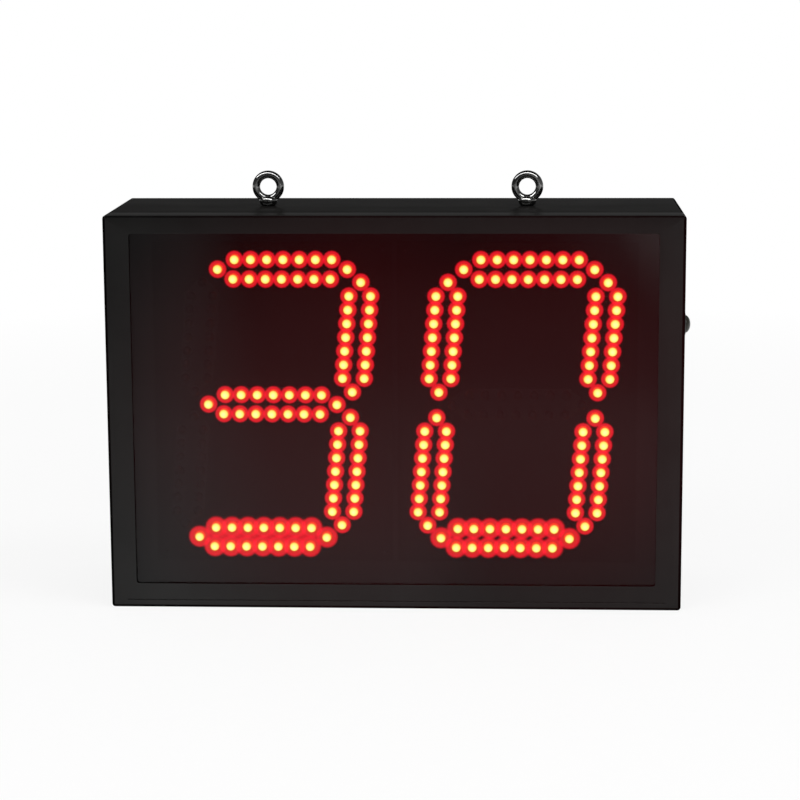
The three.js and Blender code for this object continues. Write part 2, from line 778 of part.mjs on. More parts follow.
function buttonBushing() {
  const blank = turned([
    [0, buttonBarrelEndX],
    [buttonBarrelRadius, buttonBarrelEndX],
    [buttonBarrelRadius, fitGap],
    [buttonRingRadius, fitGap],
    [buttonRingRadius, buttonRingHeight - buttonFloorThickness],
    [buttonRingRadius - buttonFloorThickness / 2, buttonRingHeight],
    [0, buttonRingHeight],
  ], rightward, [0, 0, 0], roundSides);
  const boreLength = buttonFloorX - buttonBarrelEndX;
  return cut(blank, [
    rod(buttonCapRadius + fitGap, buttonRingHeight, rightward, [buttonFloorX, 0, 0]),
    drill(buttonStemRadius + fitGap, boreLength, rightward, [buttonBarrelEndX, 0, 0]),
  ]);
}

function buttonCap() {
  const stemEndX = buttonBarrelEndX + buttonTravel;
  const profile = [
    [0, stemEndX],
    [buttonStemRadius, stemEndX],
    [buttonStemRadius, buttonSkirtX],
    [buttonCapRadius, buttonSkirtX],
  ];
  for (let step = 0; step <= buttonDomeSteps; step += 1) {
    const angle = (step / buttonDomeSteps) * (Math.PI / 2);
    const rise = buttonProtrusion - buttonDomeHeight + buttonDomeHeight * Math.sin(angle);
    profile.push([buttonCapRadius * Math.cos(angle), rise]);
  }
  profile[profile.length - 1][0] = 0;
  return turned(profile, rightward, [0, 0, 0], roundSides);
}

function buttonNut() {
  const hexagon = rod(buttonNutRadius, buttonNutThickness, leftward, [0, 0, 0], lampSides);
  return hexagon.subtract(drill(buttonBarrelRadius + fitGap, buttonNutThickness, leftward, [0, 0, 0]));
}

function buttonSwitch() {
  const body = box([-switchLength, 0], around(0, switchWidth), around(0, switchWidth));
  const tabs = [-1, 1].map((side) => box([-switchLength - switchTabLength, -switchLength / 2],
    around(side * switchWidth / 4, switchTabThickness), around(0, switchTabWidth)));
  return joined([body, ...tabs]);
}

function addButton(parent) {
  const button = addGroup(parent, [cabinetWidth / 2, buttonSetback, buttonHeight]);
  addPiece(button, "button_bushing", buttonBushing(), "blackPlastic");
  addPiece(button, "button_cap", buttonCap(), "buttonCap");
  addPiece(button, "button_nut", buttonNut(), "plainSteel", [-sheetThickness - fitGap, 0, 0]);
  addPiece(button, "button_switch", buttonSwitch(), "blackPlastic", [buttonBarrelEndX - fitGap, 0, 0]);
}

// Pan head screw that points along a direction, with the underside of its head at the origin.
function panScrew(direction) {
  return turned([
    [0, -screwHeadHeight],
    [screwHeadRadius * screwCrownShare, -screwHeadHeight],
    [screwHeadRadius, -screwHeadHeight / 2],
    [screwHeadRadius, 0],
    [screwRadius, 0],
    [screwRadius, screwLength],
    [0, screwLength],
  ], direction, [0, 0, 0], smallSides);
}

function countersunkScrew() {
  return turned([
    [0, 0],
    [bezelScrewHeadRadius, 0],
    [bezelScrewRadius, bezelScrewHeadHeight],
    [bezelScrewRadius, bezelScrewLength],
    [0, bezelScrewLength],
  ], upward, [0, 0, 0], smallSides);
}

function addScrews(parent) {
  for (const { name, x, z } of rearScrews) {
    addPiece(parent, `rear_screw_${name}`, panScrew(forward), "plainSteel", [x, backY + fitGap, z]);
  }
  for (const { name, side, z } of chassisScrews) {
    const place = [side * (cabinetWidth / 2 + fitGap), chassisScrewY, z];
    addPiece(parent, `side_screw_${name}`, panScrew(outwardFrom(-side)), "plainSteel", place);
  }
  for (const { name, x } of bezelScrews) {
    addPiece(parent, `bezel_screw_${name}`, countersunkScrew(), "plainSteel", [x, bezelScrewY, 0]);
  }
}

// Rear cover with vent slots, a grille over the sounder and the cut-out of the mains module.
function rearCover() {
  const through = [coverFrontY - cutOverrun, backY + cutOverrun];
  const hole = (radius, x, z) => drill(radius, sheetThickness, backward, [x, coverFrontY, z], smallSides);
  const cutters = [
    ...rearScrews.map(({ x, z }) => hole(screwRadius + fitGap, x, z)),
    box(around(modulePlace, moduleWidth + 2 * fitGap), through,
      around(moduleCentreHeight, moduleHeight + 2 * fitGap)),
    hole(grilleHoleRadius, sounderPlace, sounderHeight),
  ];
  for (const bank of [-1, 1]) {
    for (let slot = 0; slot < ventsEachBank; slot += 1) {
      const z = ventBankHeight + (slot - (ventsEachBank - 1) / 2) * ventPitch;
      cutters.push(box(around(bank * ventBankPlace, ventLength), through, around(z, ventHeight)));
    }
  }
  for (let step = 0; step < grilleHoles; step += 1) {
    const angle = (step / grilleHoles) * Math.PI * 2;
    const x = sounderPlace + grilleRingRadius * Math.cos(angle);
    const z = sounderHeight + grilleRingRadius * Math.sin(angle);
    cutters.push(hole(grilleHoleRadius, x, z));
  }
  return cut(slab(cabinetOutline(coverInset), coverFrontY, backY), cutters);
}

function sounder() {
  return turned([
    [0, 0],
    [sounderFlangeRadius, 0],
    [sounderFlangeRadius, sounderFlangeThickness],
    [sounderRadius, sounderFlangeThickness],
    [sounderRadius, sounderDepth],
    [0, sounderDepth],
  ], forward, [0, 0, 0], roundSides);
}

// Mains module, about the middle of its flange: Y zero is the outer face of the rear cover.
const flangeFaceY = fitGap + moduleFlangeThickness;
const rockerPivotY = flangeFaceY - rockerPivotDepth;
const rockerTilt = THREE.MathUtils.degToRad(rockerTiltDegrees);
const rockerReach = Math.hypot(rockerPivotDepth + rockerEndProud, rockerHeight / 2);
const rockerEndAngle = Math.atan2(rockerHeight / 2, rockerPivotDepth + rockerEndProud);
const rockerPocketHeight = 2 * (rockerReach * Math.sin(rockerEndAngle + rockerTilt) + fitGap);
const rockerPocketFloorY = rockerPivotY - rockerBelow - rockerHeight * Math.sin(rockerTilt) / 2 - fitGap;

function socketOutline() {
  const [left, right] = around(0, socketWidth);
  const [low, high] = around(-socketDrop, socketHeight);
  return polygon([
    [left, low],
    [right, low],
    [right, high - socketChamfer],
    [right - socketChamfer, high],
    [left + socketChamfer, high],
    [left, high - socketChamfer],
  ]);
}

function mainsInlet() {
  const housing = joined([
    box(around(0, moduleWidth), [-moduleDepth, flangeFaceY], around(0, moduleHeight)),
    box(around(0, moduleWidth + 2 * moduleFlangeMargin), [fitGap, flangeFaceY],
      around(0, moduleHeight + 2 * moduleFlangeMargin)),
  ]);
  const pocketWidth = rockerWidth + 2 * fitGap;
  const open = flangeFaceY + cutOverrun;
  const hollowed = cut(housing, [
    slab(socketOutline(), flangeFaceY - socketDepth, open),
    box(around(0, drawerWidth + 2 * fitGap), [-drawerDepth - fitGap, open],
      around(drawerRise, drawerHeight + 2 * fitGap)),
    box(around(0, pocketWidth), [rockerPocketFloorY, open], around(rockerRise, rockerPocketHeight)),
    rod(trunnionRadius + fitGap, pocketWidth + 2 * trunnionLength, rightward,
      [-pocketWidth / 2 - trunnionLength, rockerPivotY, rockerRise], smallSides),
  ]);
  const pinRange = [flangeFaceY - socketDepth - cutOverrun / 2, flangeFaceY - pinRecess];
  const pinPlaces = [
    [-pinSpacing / 2, -socketDrop],
    [pinSpacing / 2, -socketDrop],
    [0, earthPinRise - socketDrop],
  ];
  const pins = pinPlaces.map(([x, z]) => box(around(x, pinWidth), pinRange, around(z, pinHeight)));
  return joined([hollowed, ...pins]);
}

// Fuse drawer: a tray with a face plate, open at the top for the fuse.
function fuseDrawer() {
  const faceY = flangeFaceY + fitGap;
  const outerY = faceY + drawerFaceThickness;
  const pocketY = drawerWall - drawerDepth;
  const tray = box(around(0, drawerWidth), [-drawerDepth, faceY], around(0, drawerHeight));
  const face = box(around(0, drawerWidth + 2 * drawerFaceMargin), [faceY, outerY],
    around(0, drawerHeight + drawerFaceMargin));
  const grip = box(around(0, drawerWidth / 2), [faceY + drawerFaceThickness / 2, outerY + cutOverrun],
    around(0, drawerHeight / 4));
  const pocket = box(around(0, fuseLength + 2 * fitGap), [pocketY, pocketY + 2 * (fuseRadius + fitGap)],
    [drawerWall - drawerHeight / 2, drawerHeight / 2 + cutOverrun]);
  return cut(tray.add(face), [grip, pocket]);
}

function mainsFuse() {
  return rod(fuseRadius, fuseLength, rightward, [-fuseLength / 2, 0, 0], smallSides);
}

// Rocker about its pivot, tilted to the position that it rests in.
function switchRocker() {
  const end = rockerHeight / 2;
  const heel = end * rockerHeelShare;
  const topY = rockerPivotDepth + rockerEndProud;
  const outline = [
    [rockerPivotDepth + rockerMiddleProud, 0],
    [topY, end],
    [-rockerBelow * rockerHeelShare, heel],
    [-rockerBelow, 0],
    [-rockerBelow * rockerHeelShare, -heel],
    [topY, -end],
  ];
  const pivot = new THREE.Vector2();
  const tilted = outline.map(([y, z]) => new THREE.Vector2(y, z).rotateAround(pivot, rockerTilt).toArray());
  const pin = rod(trunnionRadius, rockerWidth + 2 * trunnionLength, rightward,
    [-rockerWidth / 2 - trunnionLength, 0, 0], smallSides);
  return prismAcross(tilted.reverse(), -rockerWidth / 2, rockerWidth / 2).add(pin);
}

function addMainsModule(parent) {
  const mains = addGroup(parent, [modulePlace, backY, moduleCentreHeight]);
  addPiece(mains, "mains_inlet", mainsInlet(), "blackPlastic");
  addPiece(mains, "fuse_drawer", fuseDrawer(), "blackPlastic", [0, 0, drawerRise]);
  const fuseY = drawerWall + fitGap + fuseRadius - drawerDepth;
  const fuseZ = drawerRise - drawerHeight / 2 + drawerWall + fitGap + fuseRadius;
  addPiece(mains, "mains_fuse", mainsFuse(), "fuseGlass", [0, fuseY, fuseZ]);
  addPiece(mains, "power_rocker", switchRocker(), "rockerRed", [0, rockerPivotY, rockerRise]);
}

// Controller board with its processor and two ribbon headers, in the cabinet's frame.
function controllerBoard() {
  const plate = box(around(0, controllerWidth), [controllerFrontY, controllerBackY],
    around(controllerCentreHeight, controllerHeight));
  const chip = box(around(0, chipWidth), [controllerFrontY, controllerBackY + chipThickness],
    around(controllerCentreHeight, chipWidth));
  const headerRange = [controllerFrontY, controllerBackY + controllerHeaderHeight];
  const headers = [-1, 1].map((side) => box(
    around(side * (controllerWidth / 2 - controllerHeaderInset), headerWidth),
    headerRange,
    around(controllerCentreHeight, headerLength),
  ));
  const holes = controllerHoles.map(([x, z]) => (
    drill(bossPinRadius + fitGap, boardThickness, backward, [x, controllerFrontY, z], smallSides)
  ));
  return cut(joined([plate, chip, ...headers]), holes);
}

// Screw terminal block at the controller's lower edge: Y zero is its seat and Z zero its lower face.
function terminalBlock() {
  const block = box(around(0, terminalWidth), [0, terminalThickness], [0, terminalHeight]);
  const wellRange = [terminalThickness - terminalWellDepth, terminalThickness + cutOverrun];
  const wellPitch = terminalWidth / terminalWells;
  const wells = [];
  for (let well = 0; well < terminalWells; well += 1) {
    const x = (well - (terminalWells - 1) / 2) * wellPitch;
    wells.push(box(around(x, terminalWellWidth), wellRange, around(terminalHeight / 2, terminalWellWidth)));
  }
  return cut(block, wells);
}

function receiverModule() {
  const canHeight = receiverHeight - 2 * boardThickness;
  const plate = box(around(0, receiverWidth), [0, boardThickness], around(0, receiverHeight));
  const can = box(around(0, receiverHeight), [0, receiverThickness], around(0, canHeight));
  return plate.add(can);
}

// Power supply case with its terminal bay on top: Y zero is its seat and Z zero its lower end.
function supplyCase() {
  const shell = box(around(0, supplyWidth), [0, supplyThickness], [0, supplyHeight]);
  const bay = box(around(0, supplyStripWidth + 2 * fitGap),
    [supplyThickness * (1 - supplyBayShare), supplyThickness + cutOverrun],
    [supplyHeight - supplyBayDepth, supplyHeight + cutOverrun]);
  return shell.subtract(bay);
}

function supplyStrip() {
  const height = supplyBayDepth - fitGap;
  const base = box(around(0, supplyStripWidth), [0, supplyStripDepth / 2], [0, height]);
  const fins = [];
  for (let fin = 0; fin <= supplyTerminals; fin += 1) {
    const x = (fin / supplyTerminals - 1 / 2) * (supplyStripWidth - supplyFinThickness);
    fins.push(box(around(x, supplyFinThickness), [0, supplyStripDepth], [0, height]));
  }
  return joined([base, ...fins]);
}

// Ribbon cable of one side: a flat bridge between two plugs, bent in X and Y.
function ribbonCable(side) {
  const boardX = side * digitSpacing / 2 + headerPlace(side);
  const controllerX = side * (controllerWidth / 2 - controllerHeaderInset);
  const boardSeatY = boardBackY + headerHeight + fitGap;
  const controllerSeatY = controllerBackY + controllerHeaderHeight + fitGap;
  const bridgeY = controllerSeatY + plugHeight + ribbonRise;
  const half = ribbonThickness / 2;
  const [leftX, rightX] = [Math.min(boardX, controllerX), Math.max(boardX, controllerX)];
  const [leftSeat, rightSeat] = side > 0 ? [controllerSeatY, boardSeatY] : [boardSeatY, controllerSeatY];
  const bend = ribbonRise / 2;
  const outline = [
    [leftX - half, leftSeat + plugHeight / 2],
    [leftX + half, leftSeat + plugHeight / 2],
    [leftX + half, bridgeY - bend],
    [leftX + bend, bridgeY - half],
    [rightX - bend, bridgeY - half],
    [rightX - half, bridgeY - bend],
    [rightX - half, rightSeat + plugHeight / 2],
    [rightX + half, rightSeat + plugHeight / 2],
    [rightX + half, bridgeY - bend],
    [rightX - bend, bridgeY + half],
    [leftX + bend, bridgeY + half],
    [leftX - half, bridgeY - bend],
  ];
  const [low, high] = around(controllerCentreHeight, ribbonWidth);
  const plugs = [[boardX, boardSeatY], [controllerX, controllerSeatY]].map(([x, seatY]) => box(
    around(x, plugWidth), [seatY, seatY + plugHeight], around(controllerCentreHeight, headerLength)));
  return joined([prismUp(outline, low, high), ...plugs]);
}

function addElectronics(parent) {
  addPiece(parent, "controller_board", controllerBoard(), "boardGreen");
  const onController = controllerBackY + fitGap;
  addPiece(parent, "terminal_block", terminalBlock(), "terminalGreen", [0, onController, terminalBottom]);
  addPiece(parent, "receiver_module", receiverModule(), "boardGreen",
    [0, onController, controllerCentreHeight + receiverDrop]);
  const stripPlace = [0, supplyStripY, supplyTop - supplyBayDepth + fitGap];
  addPiece(parent, "power_supply_case", supplyCase(), "plainSteel", [0, supplyFrontY, supplyBottom]);
  addPiece(parent, "power_supply_terminals", supplyStrip(), "blackPlastic", stripPlace);
  addPiece(parent, "sounder", sounder(), "blackPlastic", [sounderPlace, coverFrontY - fitGap, sounderHeight]);
  addPiece(parent, "ribbon_cable_left", ribbonCable(-1), "ribbonGrey");
  addPiece(parent, "ribbon_cable_right", ribbonCable(1), "ribbonGrey");
}

function mixed(low, high, share) {
  return low + (high - low) * share;
}

// The mains lead leaves the module, rises over the power supply and comes down on its terminals.
// Each row of the sweep holds the shares of the way across, forward and up to the arch.
function mainsLead() {
  const sweep = [
    [0, 0.1, 0],
    [0.03, 0.33, 0.11],
    [0.23, 0.59, 0.49],
    [0.59, 0.81, 0.89],
    [0.86, 0.95, 1],
    [0.99, 1, 0.89],
  ];
  const [startX, startY, startZ] = [modulePlace, backY - moduleDepth - fitGap, moduleCentreHeight];
  const endY = supplyStripY + supplyStripDepth / 2;
  const archZ = supplyTop + mainsLeadArch;
  return leadAlong([
    [startX, startY, startZ],
    ...sweep.map(([across, ahead, up]) => [
      mixed(startX, mainsLeadPlace, across),
      mixed(startY, endY, ahead),
      mixed(startZ, archZ, up),
    ]),
    [mainsLeadPlace, endY, supplyTop + mainsLeadStraight],
    [mainsLeadPlace, endY, supplyTop + fitGap],
  ], mainsLeadRadius);
}

// The supply lead bows backward between the power supply's terminals and the controller's.
function supplyLead() {
  const sweep = [
    [0.3, 0.8],
    [0.5, 1],
    [0.7, 0.6],
  ];
  const [lowX, lowY, lowZ] = [supplyLeadPlace, supplyStripY + supplyStripDepth / 2, supplyTop + fitGap];
  const highY = controllerBackY + fitGap + terminalThickness / 2;
  const highZ = terminalBottom - fitGap;
  return leadAlong([
    [lowX, lowY, lowZ],
    [lowX, lowY, lowZ + supplyLeadStraight],
    ...sweep.map(([up, bow]) => [
      mixed(lowX, supplyLeadEndPlace, up),
      mixed(lowY, highY, up) + supplyLeadBow * bow,
      mixed(lowZ, highZ, up),
    ]),
    [supplyLeadEndPlace, highY, highZ - supplyLeadStraight],
    [supplyLeadEndPlace, highY, highZ],
  ], supplyLeadRadius);
}

function addLeads(parent) {
  addPiece(parent, "mains_lead", mainsLead(), "leadGrey");
  addPiece(parent, "supply_lead", supplyLead(), "leadGrey");
}

function addCabinet(parent) {
  const pane = slab(windowOutline(windowOverlap), windowFrontY, windowBackY);
  addPiece(parent, "cabinet_body", cabinetBody(), "paintedSteel");
  addPiece(parent, "front_bezel", frontBezel(), "paintedSteel");
  addPiece(parent, "rear_cover", rearCover(), "paintedSteel");
  addPiece(parent, "front_window", pane, "smokedPane");
  addPiece(parent, "window_gasket", windowGasket(), "foam");
  addPiece(parent, "window_retainer", windowRetainer(), "plainSteel");
  addPiece(parent, "chassis_plate", chassisPlate(), "aluminium");
}

addCabinet(shotClock);
for (const digit of digits) addDigit(shotClock, digit);
addHangingGear(shotClock);
addButton(shotClock);
addElectronics(shotClock);
addLeads(shotClock);
addMainsModule(shotClock);
addScrews(shotClock);

export default shotClock;
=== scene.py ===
"""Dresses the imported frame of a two-digit shot clock and sets it in a plain studio.

The file is laid out as an add-on and is run as a script: main() registers its classes and
calls one operator for each group of pieces. Places come from the
frame. Profiles and the depths of finishes are written in millimetres, and all else is
in metres.
"""

import functools
import json
import math

import bmesh
import bpy
from bpy.props import FloatProperty, FloatVectorProperty, IntProperty, PointerProperty
from mathutils import Matrix, Vector


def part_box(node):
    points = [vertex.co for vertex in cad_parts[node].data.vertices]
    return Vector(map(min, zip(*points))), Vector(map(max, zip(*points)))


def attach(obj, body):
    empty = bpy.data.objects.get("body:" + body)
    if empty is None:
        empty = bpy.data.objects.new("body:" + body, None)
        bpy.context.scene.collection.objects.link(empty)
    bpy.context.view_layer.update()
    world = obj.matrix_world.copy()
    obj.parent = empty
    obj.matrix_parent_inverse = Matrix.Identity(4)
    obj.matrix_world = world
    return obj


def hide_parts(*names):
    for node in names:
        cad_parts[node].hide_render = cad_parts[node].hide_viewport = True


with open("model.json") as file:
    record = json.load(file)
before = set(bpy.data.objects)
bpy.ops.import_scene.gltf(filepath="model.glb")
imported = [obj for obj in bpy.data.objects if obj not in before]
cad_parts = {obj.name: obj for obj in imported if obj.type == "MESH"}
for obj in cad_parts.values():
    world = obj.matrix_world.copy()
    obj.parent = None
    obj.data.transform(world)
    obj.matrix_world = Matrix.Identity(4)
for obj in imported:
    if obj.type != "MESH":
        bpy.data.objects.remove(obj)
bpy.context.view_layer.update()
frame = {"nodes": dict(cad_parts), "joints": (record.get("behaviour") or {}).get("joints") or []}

bl_info = {
    "name": "Shot Clock",
    "version": (1, 0, 0),
    "blender": (4, 5, 0),
    "location": "View3D > Sidebar > Shot Clock",
    "description": "A two-digit shot clock with lamp digits, eye bolts and a push button",
    "category": "Object",
}

MM = 0.001
# How near doubles are merged, how near a plane a vertex lies in it, and the least part of
# a normal that runs along an axis on a flat side
MERGED = 0.001 * MM
SLACK = 0.001 * MM
FLAT = 0.999
X_AXIS = Vector((1, 0, 0))
Y_AXIS = Vector((0, 1, 0))
Z_AXIS = Vector((0, 0, 1))
BLACK = (0, 0, 0)
WHITE = (1, 1, 1)
SIDES = ("left", "right")
ROWS = ("low", "high")
COLUMNS = ("left", "middle", "right")
# The lit segments of each digit, which show 30
LIT_SEGMENTS = {"left": "abcdg", "right": "abcdef"}
# The segments that lie across a digit; the others stand
LYING_SEGMENTS = "adg"


# Sizes and colours that a user would change


def length(name, description, millimetres):
    """A length property that shows in the scene's unit."""
    return FloatProperty(
        name=name, description=description, default=millimetres * MM, unit="LENGTH", precision=5
    )


def number(name, description, default):
    return FloatProperty(name=name, description=description, default=default)


def count(name, description, default):
    return IntProperty(name=name, description=description, default=default)


def colour(name, description, rgb):
    """A linear colour property."""
    return FloatVectorProperty(
        name=name, description=description, default=rgb, size=3, subtype="COLOR", min=0, max=1
    )


class ShotClockSheetMetal(bpy.types.PropertyGroup):
    """Folded sheet metal of the cabinet, bezel and rear cover."""

    sheet: length("Sheet", "Thickness of the folded sheet", 1.5)
    corner_radius: length("Corner radius", "Radius of the cabinet's four long corners", 3.5)
    corner_steps: count("Corner steps", "Facets in a corner", 6)
    front_radius: length("Front radius", "Radius of the bezel's front edge", 3.1)
    fold_radius: length("Fold radius", "Radius of the rear fold", 1.8)
    joggle_radius: length("Joggle radius", "Radius of the step under the bezel", 1.1)
    edge_round: length("Edge rounding", "Rounding of the cut edges", 0.25)
    lip_inset: length("Lip inset", "Depth of the step that the bezel slides on", 1.8)
    rear_flange: length("Rear flange", "Width of the flange behind the rear cover", 18)
    seam: length("Seam", "Gap between the bezel and the cabinet", 0.5)
    window_overlap: length("Window overlap", "Window hidden behind the bezel", 11)
    groove_height: length("Groove height", "Height of the groove under the window", 8.5)
    groove_width: length("Groove width", "Width of the groove", 1.1)
    groove_slope: length("Groove slope", "Width of the groove's sloped sides", 0.132)
    groove_depth: length("Groove depth", "Depth of the groove", 1)
    groove_inset: length("Groove inset", "Distance of the groove from the sides", 17)
    shank_hole: length("Shank hole", "Radius of an eye bolt's hole", 4.4)
    barrel_hole: length("Barrel hole", "Radius of the push button's hole", 8.4)
    bezel_hole: length("Bezel hole", "Radius of a countersunk screw's hole", 3.1)


class ShotClockRearHoles(bpy.types.PropertyGroup):
    """Vents, grille and cut-outs of the rear cover."""

    vent_length: length("Vent length", "Length of one vent slot", 60)
    vent_height: length("Vent height", "Height of one vent slot", 4)
    vent_round: length("Vent rounding", "Radius of a vent slot's ends", 1.96)
    vent_pitch: length("Vent pitch", "Distance between vent slots", 10)
    vents: count("Vents", "Slots in each bank", 6)
    bank_place: length("Bank place", "Distance of a vent bank from the middle", 132)
    bank_height: length("Bank height", "Height of the vent banks' middle", 332.5)
    grille_radius: length("Grille radius", "Radius of the ring of sounder holes", 14)
    grille_hole: length("Grille hole", "Radius of a sounder hole", 3)
    grille_holes: count("Grille holes", "Holes in the ring", 8)
    screw_hole: length("Screw hole", "Radius of a cover screw's hole", 2.3)
    module_width: length("Module width", "Width of the mains module's cut-out", 31.6)
    module_height: length("Module height", "Height of the mains module's cut-out", 64.6)
    module_round: length("Module rounding", "Corner radius of the same cut-out", 1)


class ShotClockLamps(bpy.types.PropertyGroup):
    """Lamp segments and the light round them."""

    radius: length("Lamp radius", "Radius of one lamp", 5)
    stand: length("Lamp height", "Height of a lamp over its strip", 10.2)
    strip: length("Strip", "Thickness of the carrier strip", 3)
    strip_round: length("Strip rounding", "Rounding of the carrier strip's edges", 0.4)
    margin: length("Strip margin", "Carrier strip round the outer lamps", 6.8)
    pitch_across: length("Pitch across", "Lamp pitch in a lying segment", 16.87)
    pitch_up: length("Pitch up", "Lamp pitch in a standing segment", 14.43)
    row_offset: length("Row offset", "Row distance from a lying segment's middle", 10.18)
    column_offset: length("Column offset", "Column distance from a standing middle", 11.31)
    slant: number("Slant", "Sideways lean of the digits", 0.0844)
    glow_depth: length("Glow depth", "How far behind the tips the glow stands", 4.6)
    glow_radius: length("Glow radius", "Radius of the red light round a lamp", 10.2)
    glow_drop: length("Glow drop", "How far a glow's rim lies behind its inner edge", 1.6)
    glow_wall: length("Glow wall", "Thickness of a glow", 0.3)
    low_glow_radius: length("Low glow radius", "Radius of the glow in the lowest segments", 12.8)
    fill_radius: length("Fill radius", "Light between the rows of the brightest segment", 6.6)
    fill_rise: length("Fill rise", "Height of that light's middle over its rim", 0.6)


class ShotClockHardware(bpy.types.PropertyGroup):
    """Eye bolts, push button and screws."""

    ring_radius: length("Ring radius", "Radius of an eye's centre line", 12.85)
    ring_section: length("Ring section", "Radius of an eye's section", 4.15)
    ring_height: length("Ring height", "Height of an eye's centre over its seat", 20)
    collar_radius: length("Collar radius", "Radius of an eye bolt's collar", 9.6)
    shank_radius: length("Shank radius", "Radius of an eye bolt's shank", 4)
    shank_length: length("Shank length", "Length of an eye bolt's shank", 17)
    thread_pitch: length("Thread pitch", "Distance between an eye bolt's threads", 1.25)
    thread_depth: length("Thread depth", "Depth of an eye bolt's threads", 0.55)
    cap_radius: length("Cap radius", "Radius of the button's cap", 9.7)
    cap_reach: length("Cap reach", "How far the cap stands out at rest", 11.9)
    cap_dome: length("Cap dome", "Height of the cap's dome", 6.2)
    stem_radius: length("Stem radius", "Radius of the cap's stem", 5)
    barrel_radius: length("Barrel radius", "Radius of the button's barrel", 8)
    button_gap: length("Button gap", "Clearance round the cap and under the ring", 0.3)
    flutes: count("Flutes", "Grip flutes of the button's ring", 28)
    flute_share: number("Flute share", "Radius of a flute as a share of the ring's", 0.965)
    head_radius: length("Screw head radius", "Radius of a pan head", 3.8)
    head_height: length("Screw head height", "Height of a pan head", 2.2)
    sunk_radius: length("Sunk head radius", "Radius of a countersunk head", 2.9)


class ShotClockColours(bpy.types.PropertyGroup):
    """Colours of the finishes, all linear."""

    paint: colour("Paint", "Powder coat of the cabinet", (0.0052, 0.0049, 0.0047))
    # Painted shade: the bends are darkened to stand for the shade and dark reflections along the
    # rounded edges
    bend: colour("Bend", "Painted shade on the rounded bends", (0.0007, 0.0006, 0.0006))
    worn_paint: colour("Worn paint", "Powder coat rubbed at its edges", (0.03, 0.0285, 0.0275))
    dust: colour("Dust", "Dust that settles on top", (0.12, 0.113, 0.104))
    window: colour("Window", "Tint of the smoked window", (0.19, 0.165, 0.17))
    # Painted light: the red glow that the front's paint and the window give off near the lit digits
    painted_spill: colour("Spill", "Lamp light that the front scatters", (1.0, 0.03, 0.06))
    board: colour("Board", "Black board behind the lamps", (0.004, 0.004, 0.004))
    green: colour("Green board", "Solder mask of the electronics", (0.012, 0.09, 0.035))
    chrome: colour("Chrome", "Dark plating of the eye bolts", (0.085, 0.085, 0.087))
    zinc: colour("Zinc", "Plated inner hardware", (0.5, 0.5, 0.51))
    black_oxide: colour("Black oxide", "Screws", (0.035, 0.035, 0.036))
    plastic: colour("Plastic", "Black mouldings", (0.016, 0.016, 0.016))
    cap: colour("Cap", "Cap of the push button", (0.017, 0.0165, 0.012))
    rocker: colour("Rocker", "Red power rocker", (0.27, 0.008, 0.006))
    unlit: colour("Unlit lamp", "Diffused red lamp that is off", (0.014, 0.0015, 0.0015))


class ShotClockStudio(bpy.types.PropertyGroup):
    """Light levels and the camera."""

    sky: number("Sky", "Strength of the even light", 0.62)
    mirrored: number("Mirrored", "White that gloss sees", 0.6)
    key: number("Key", "Power of the key softbox in watts", 24)
    fill: number("Fill", "Power of the fill softbox in watts", 10)
    overhead: number("Overhead", "Power of the top box in watts", 13)
    strip: number("Strip", "Power of the long strip in watts", 42)
    focal: number("Focal length", "Lens in millimetres", 110.15)
    eye: FloatVectorProperty(
        name="Camera place", description="Where the camera stands", size=3, subtype="XYZ",
        default=(0.12573, -2.59059, 0.67672), precision=5,
    )
    aim: FloatVectorProperty(
        name="Camera turn", description="Pitch, roll and turn of the camera", size=3,
        subtype="EULER", default=[math.radians(part) for part in (-10.2749, 0.2877, 2.7343)],
    )


# Shader building


def join(tree, node, sockets):
    """Gives sockets their numbers and opaque colours, or links them to other sockets."""
    for key, value in sockets.items():
        socket = node.inputs[key]
        if isinstance(value, bpy.types.NodeSocket):
            tree.links.new(value, socket)
        elif socket.type == "RGBA":
            socket.default_value = (*value, 1.0)
        else:
            socket.default_value = value


def put_node(tree, kind, sockets=None, **settings):
    """Adds a shader node with its settings and its sockets."""
    node = tree.nodes.new("ShaderNode" + kind)
    for key, value in settings.items():
        setattr(node, key, value)
    join(tree, node, sockets or {})
    return node


def arithmetic(tree, operation, first, *others):
    """The result of one Math node, or of one for each value after the first."""
    result = first
    for other in others:
        result = put_node(tree, "Math", {0: result, 1: other}, operation=operation).outputs[0]
    return result


def times(tree, *factors):
    return arithmetic(tree, "MULTIPLY", *factors)


def plus(tree, *terms):
    return arithmetic(tree, "ADD", *terms)


def larger(tree, *values):
    return arithmetic(tree, "MAXIMUM", *values)


def rest_of(tree, share):
    """What a share leaves of one."""
    return arithmetic(tree, "SUBTRACT", 1.0, share)


def blended(tree, share, first, second):
    """The colour between two colours."""
    return put_node(tree, "Mix", {0: share, 6: first, 7: second}, data_type="RGBA").outputs[2]


def ranged(tree, value, low, high, out_low=0.0, out_high=1.0, kind="LINEAR"):
    """A value carried from one range to another, and held inside it."""
    return put_node(
        tree, "MapRange",
        {"Value": value, "From Min": low, "From Max": high, "To Min": out_low, "To Max": out_high},
        interpolation_type=kind,
    ).outputs["Result"]


def ramp(tree, value, stops):
    """A colour ramp through (place, colour) stops."""
    node = put_node(tree, "ValToRGB", {"Fac": value})
    elements = node.color_ramp.elements
    while len(elements) < len(stops):
        elements.new(0.5)
    for element, (place, rgb) in zip(elements, stops):
        element.position = place
        element.color = (*rgb, 1.0)
    return node.outputs["Color"]


def own_place(tree):
    """The object's own coordinates, in metres."""
    return put_node(tree, "TexCoord").outputs["Object"]


def axis_of(tree, vector, axis):
    """One part of a place or a direction."""
    return put_node(tree, "SeparateXYZ", {"Vector": vector}).outputs[axis]


def noise(tree, scale, detail, place=None):
    """Noise over the object's own coordinates, or over another place."""
    sockets = {"Vector": place or own_place(tree), "Scale": scale, "Detail": detail}
    return put_node(tree, "TexNoise", sockets).outputs[0]


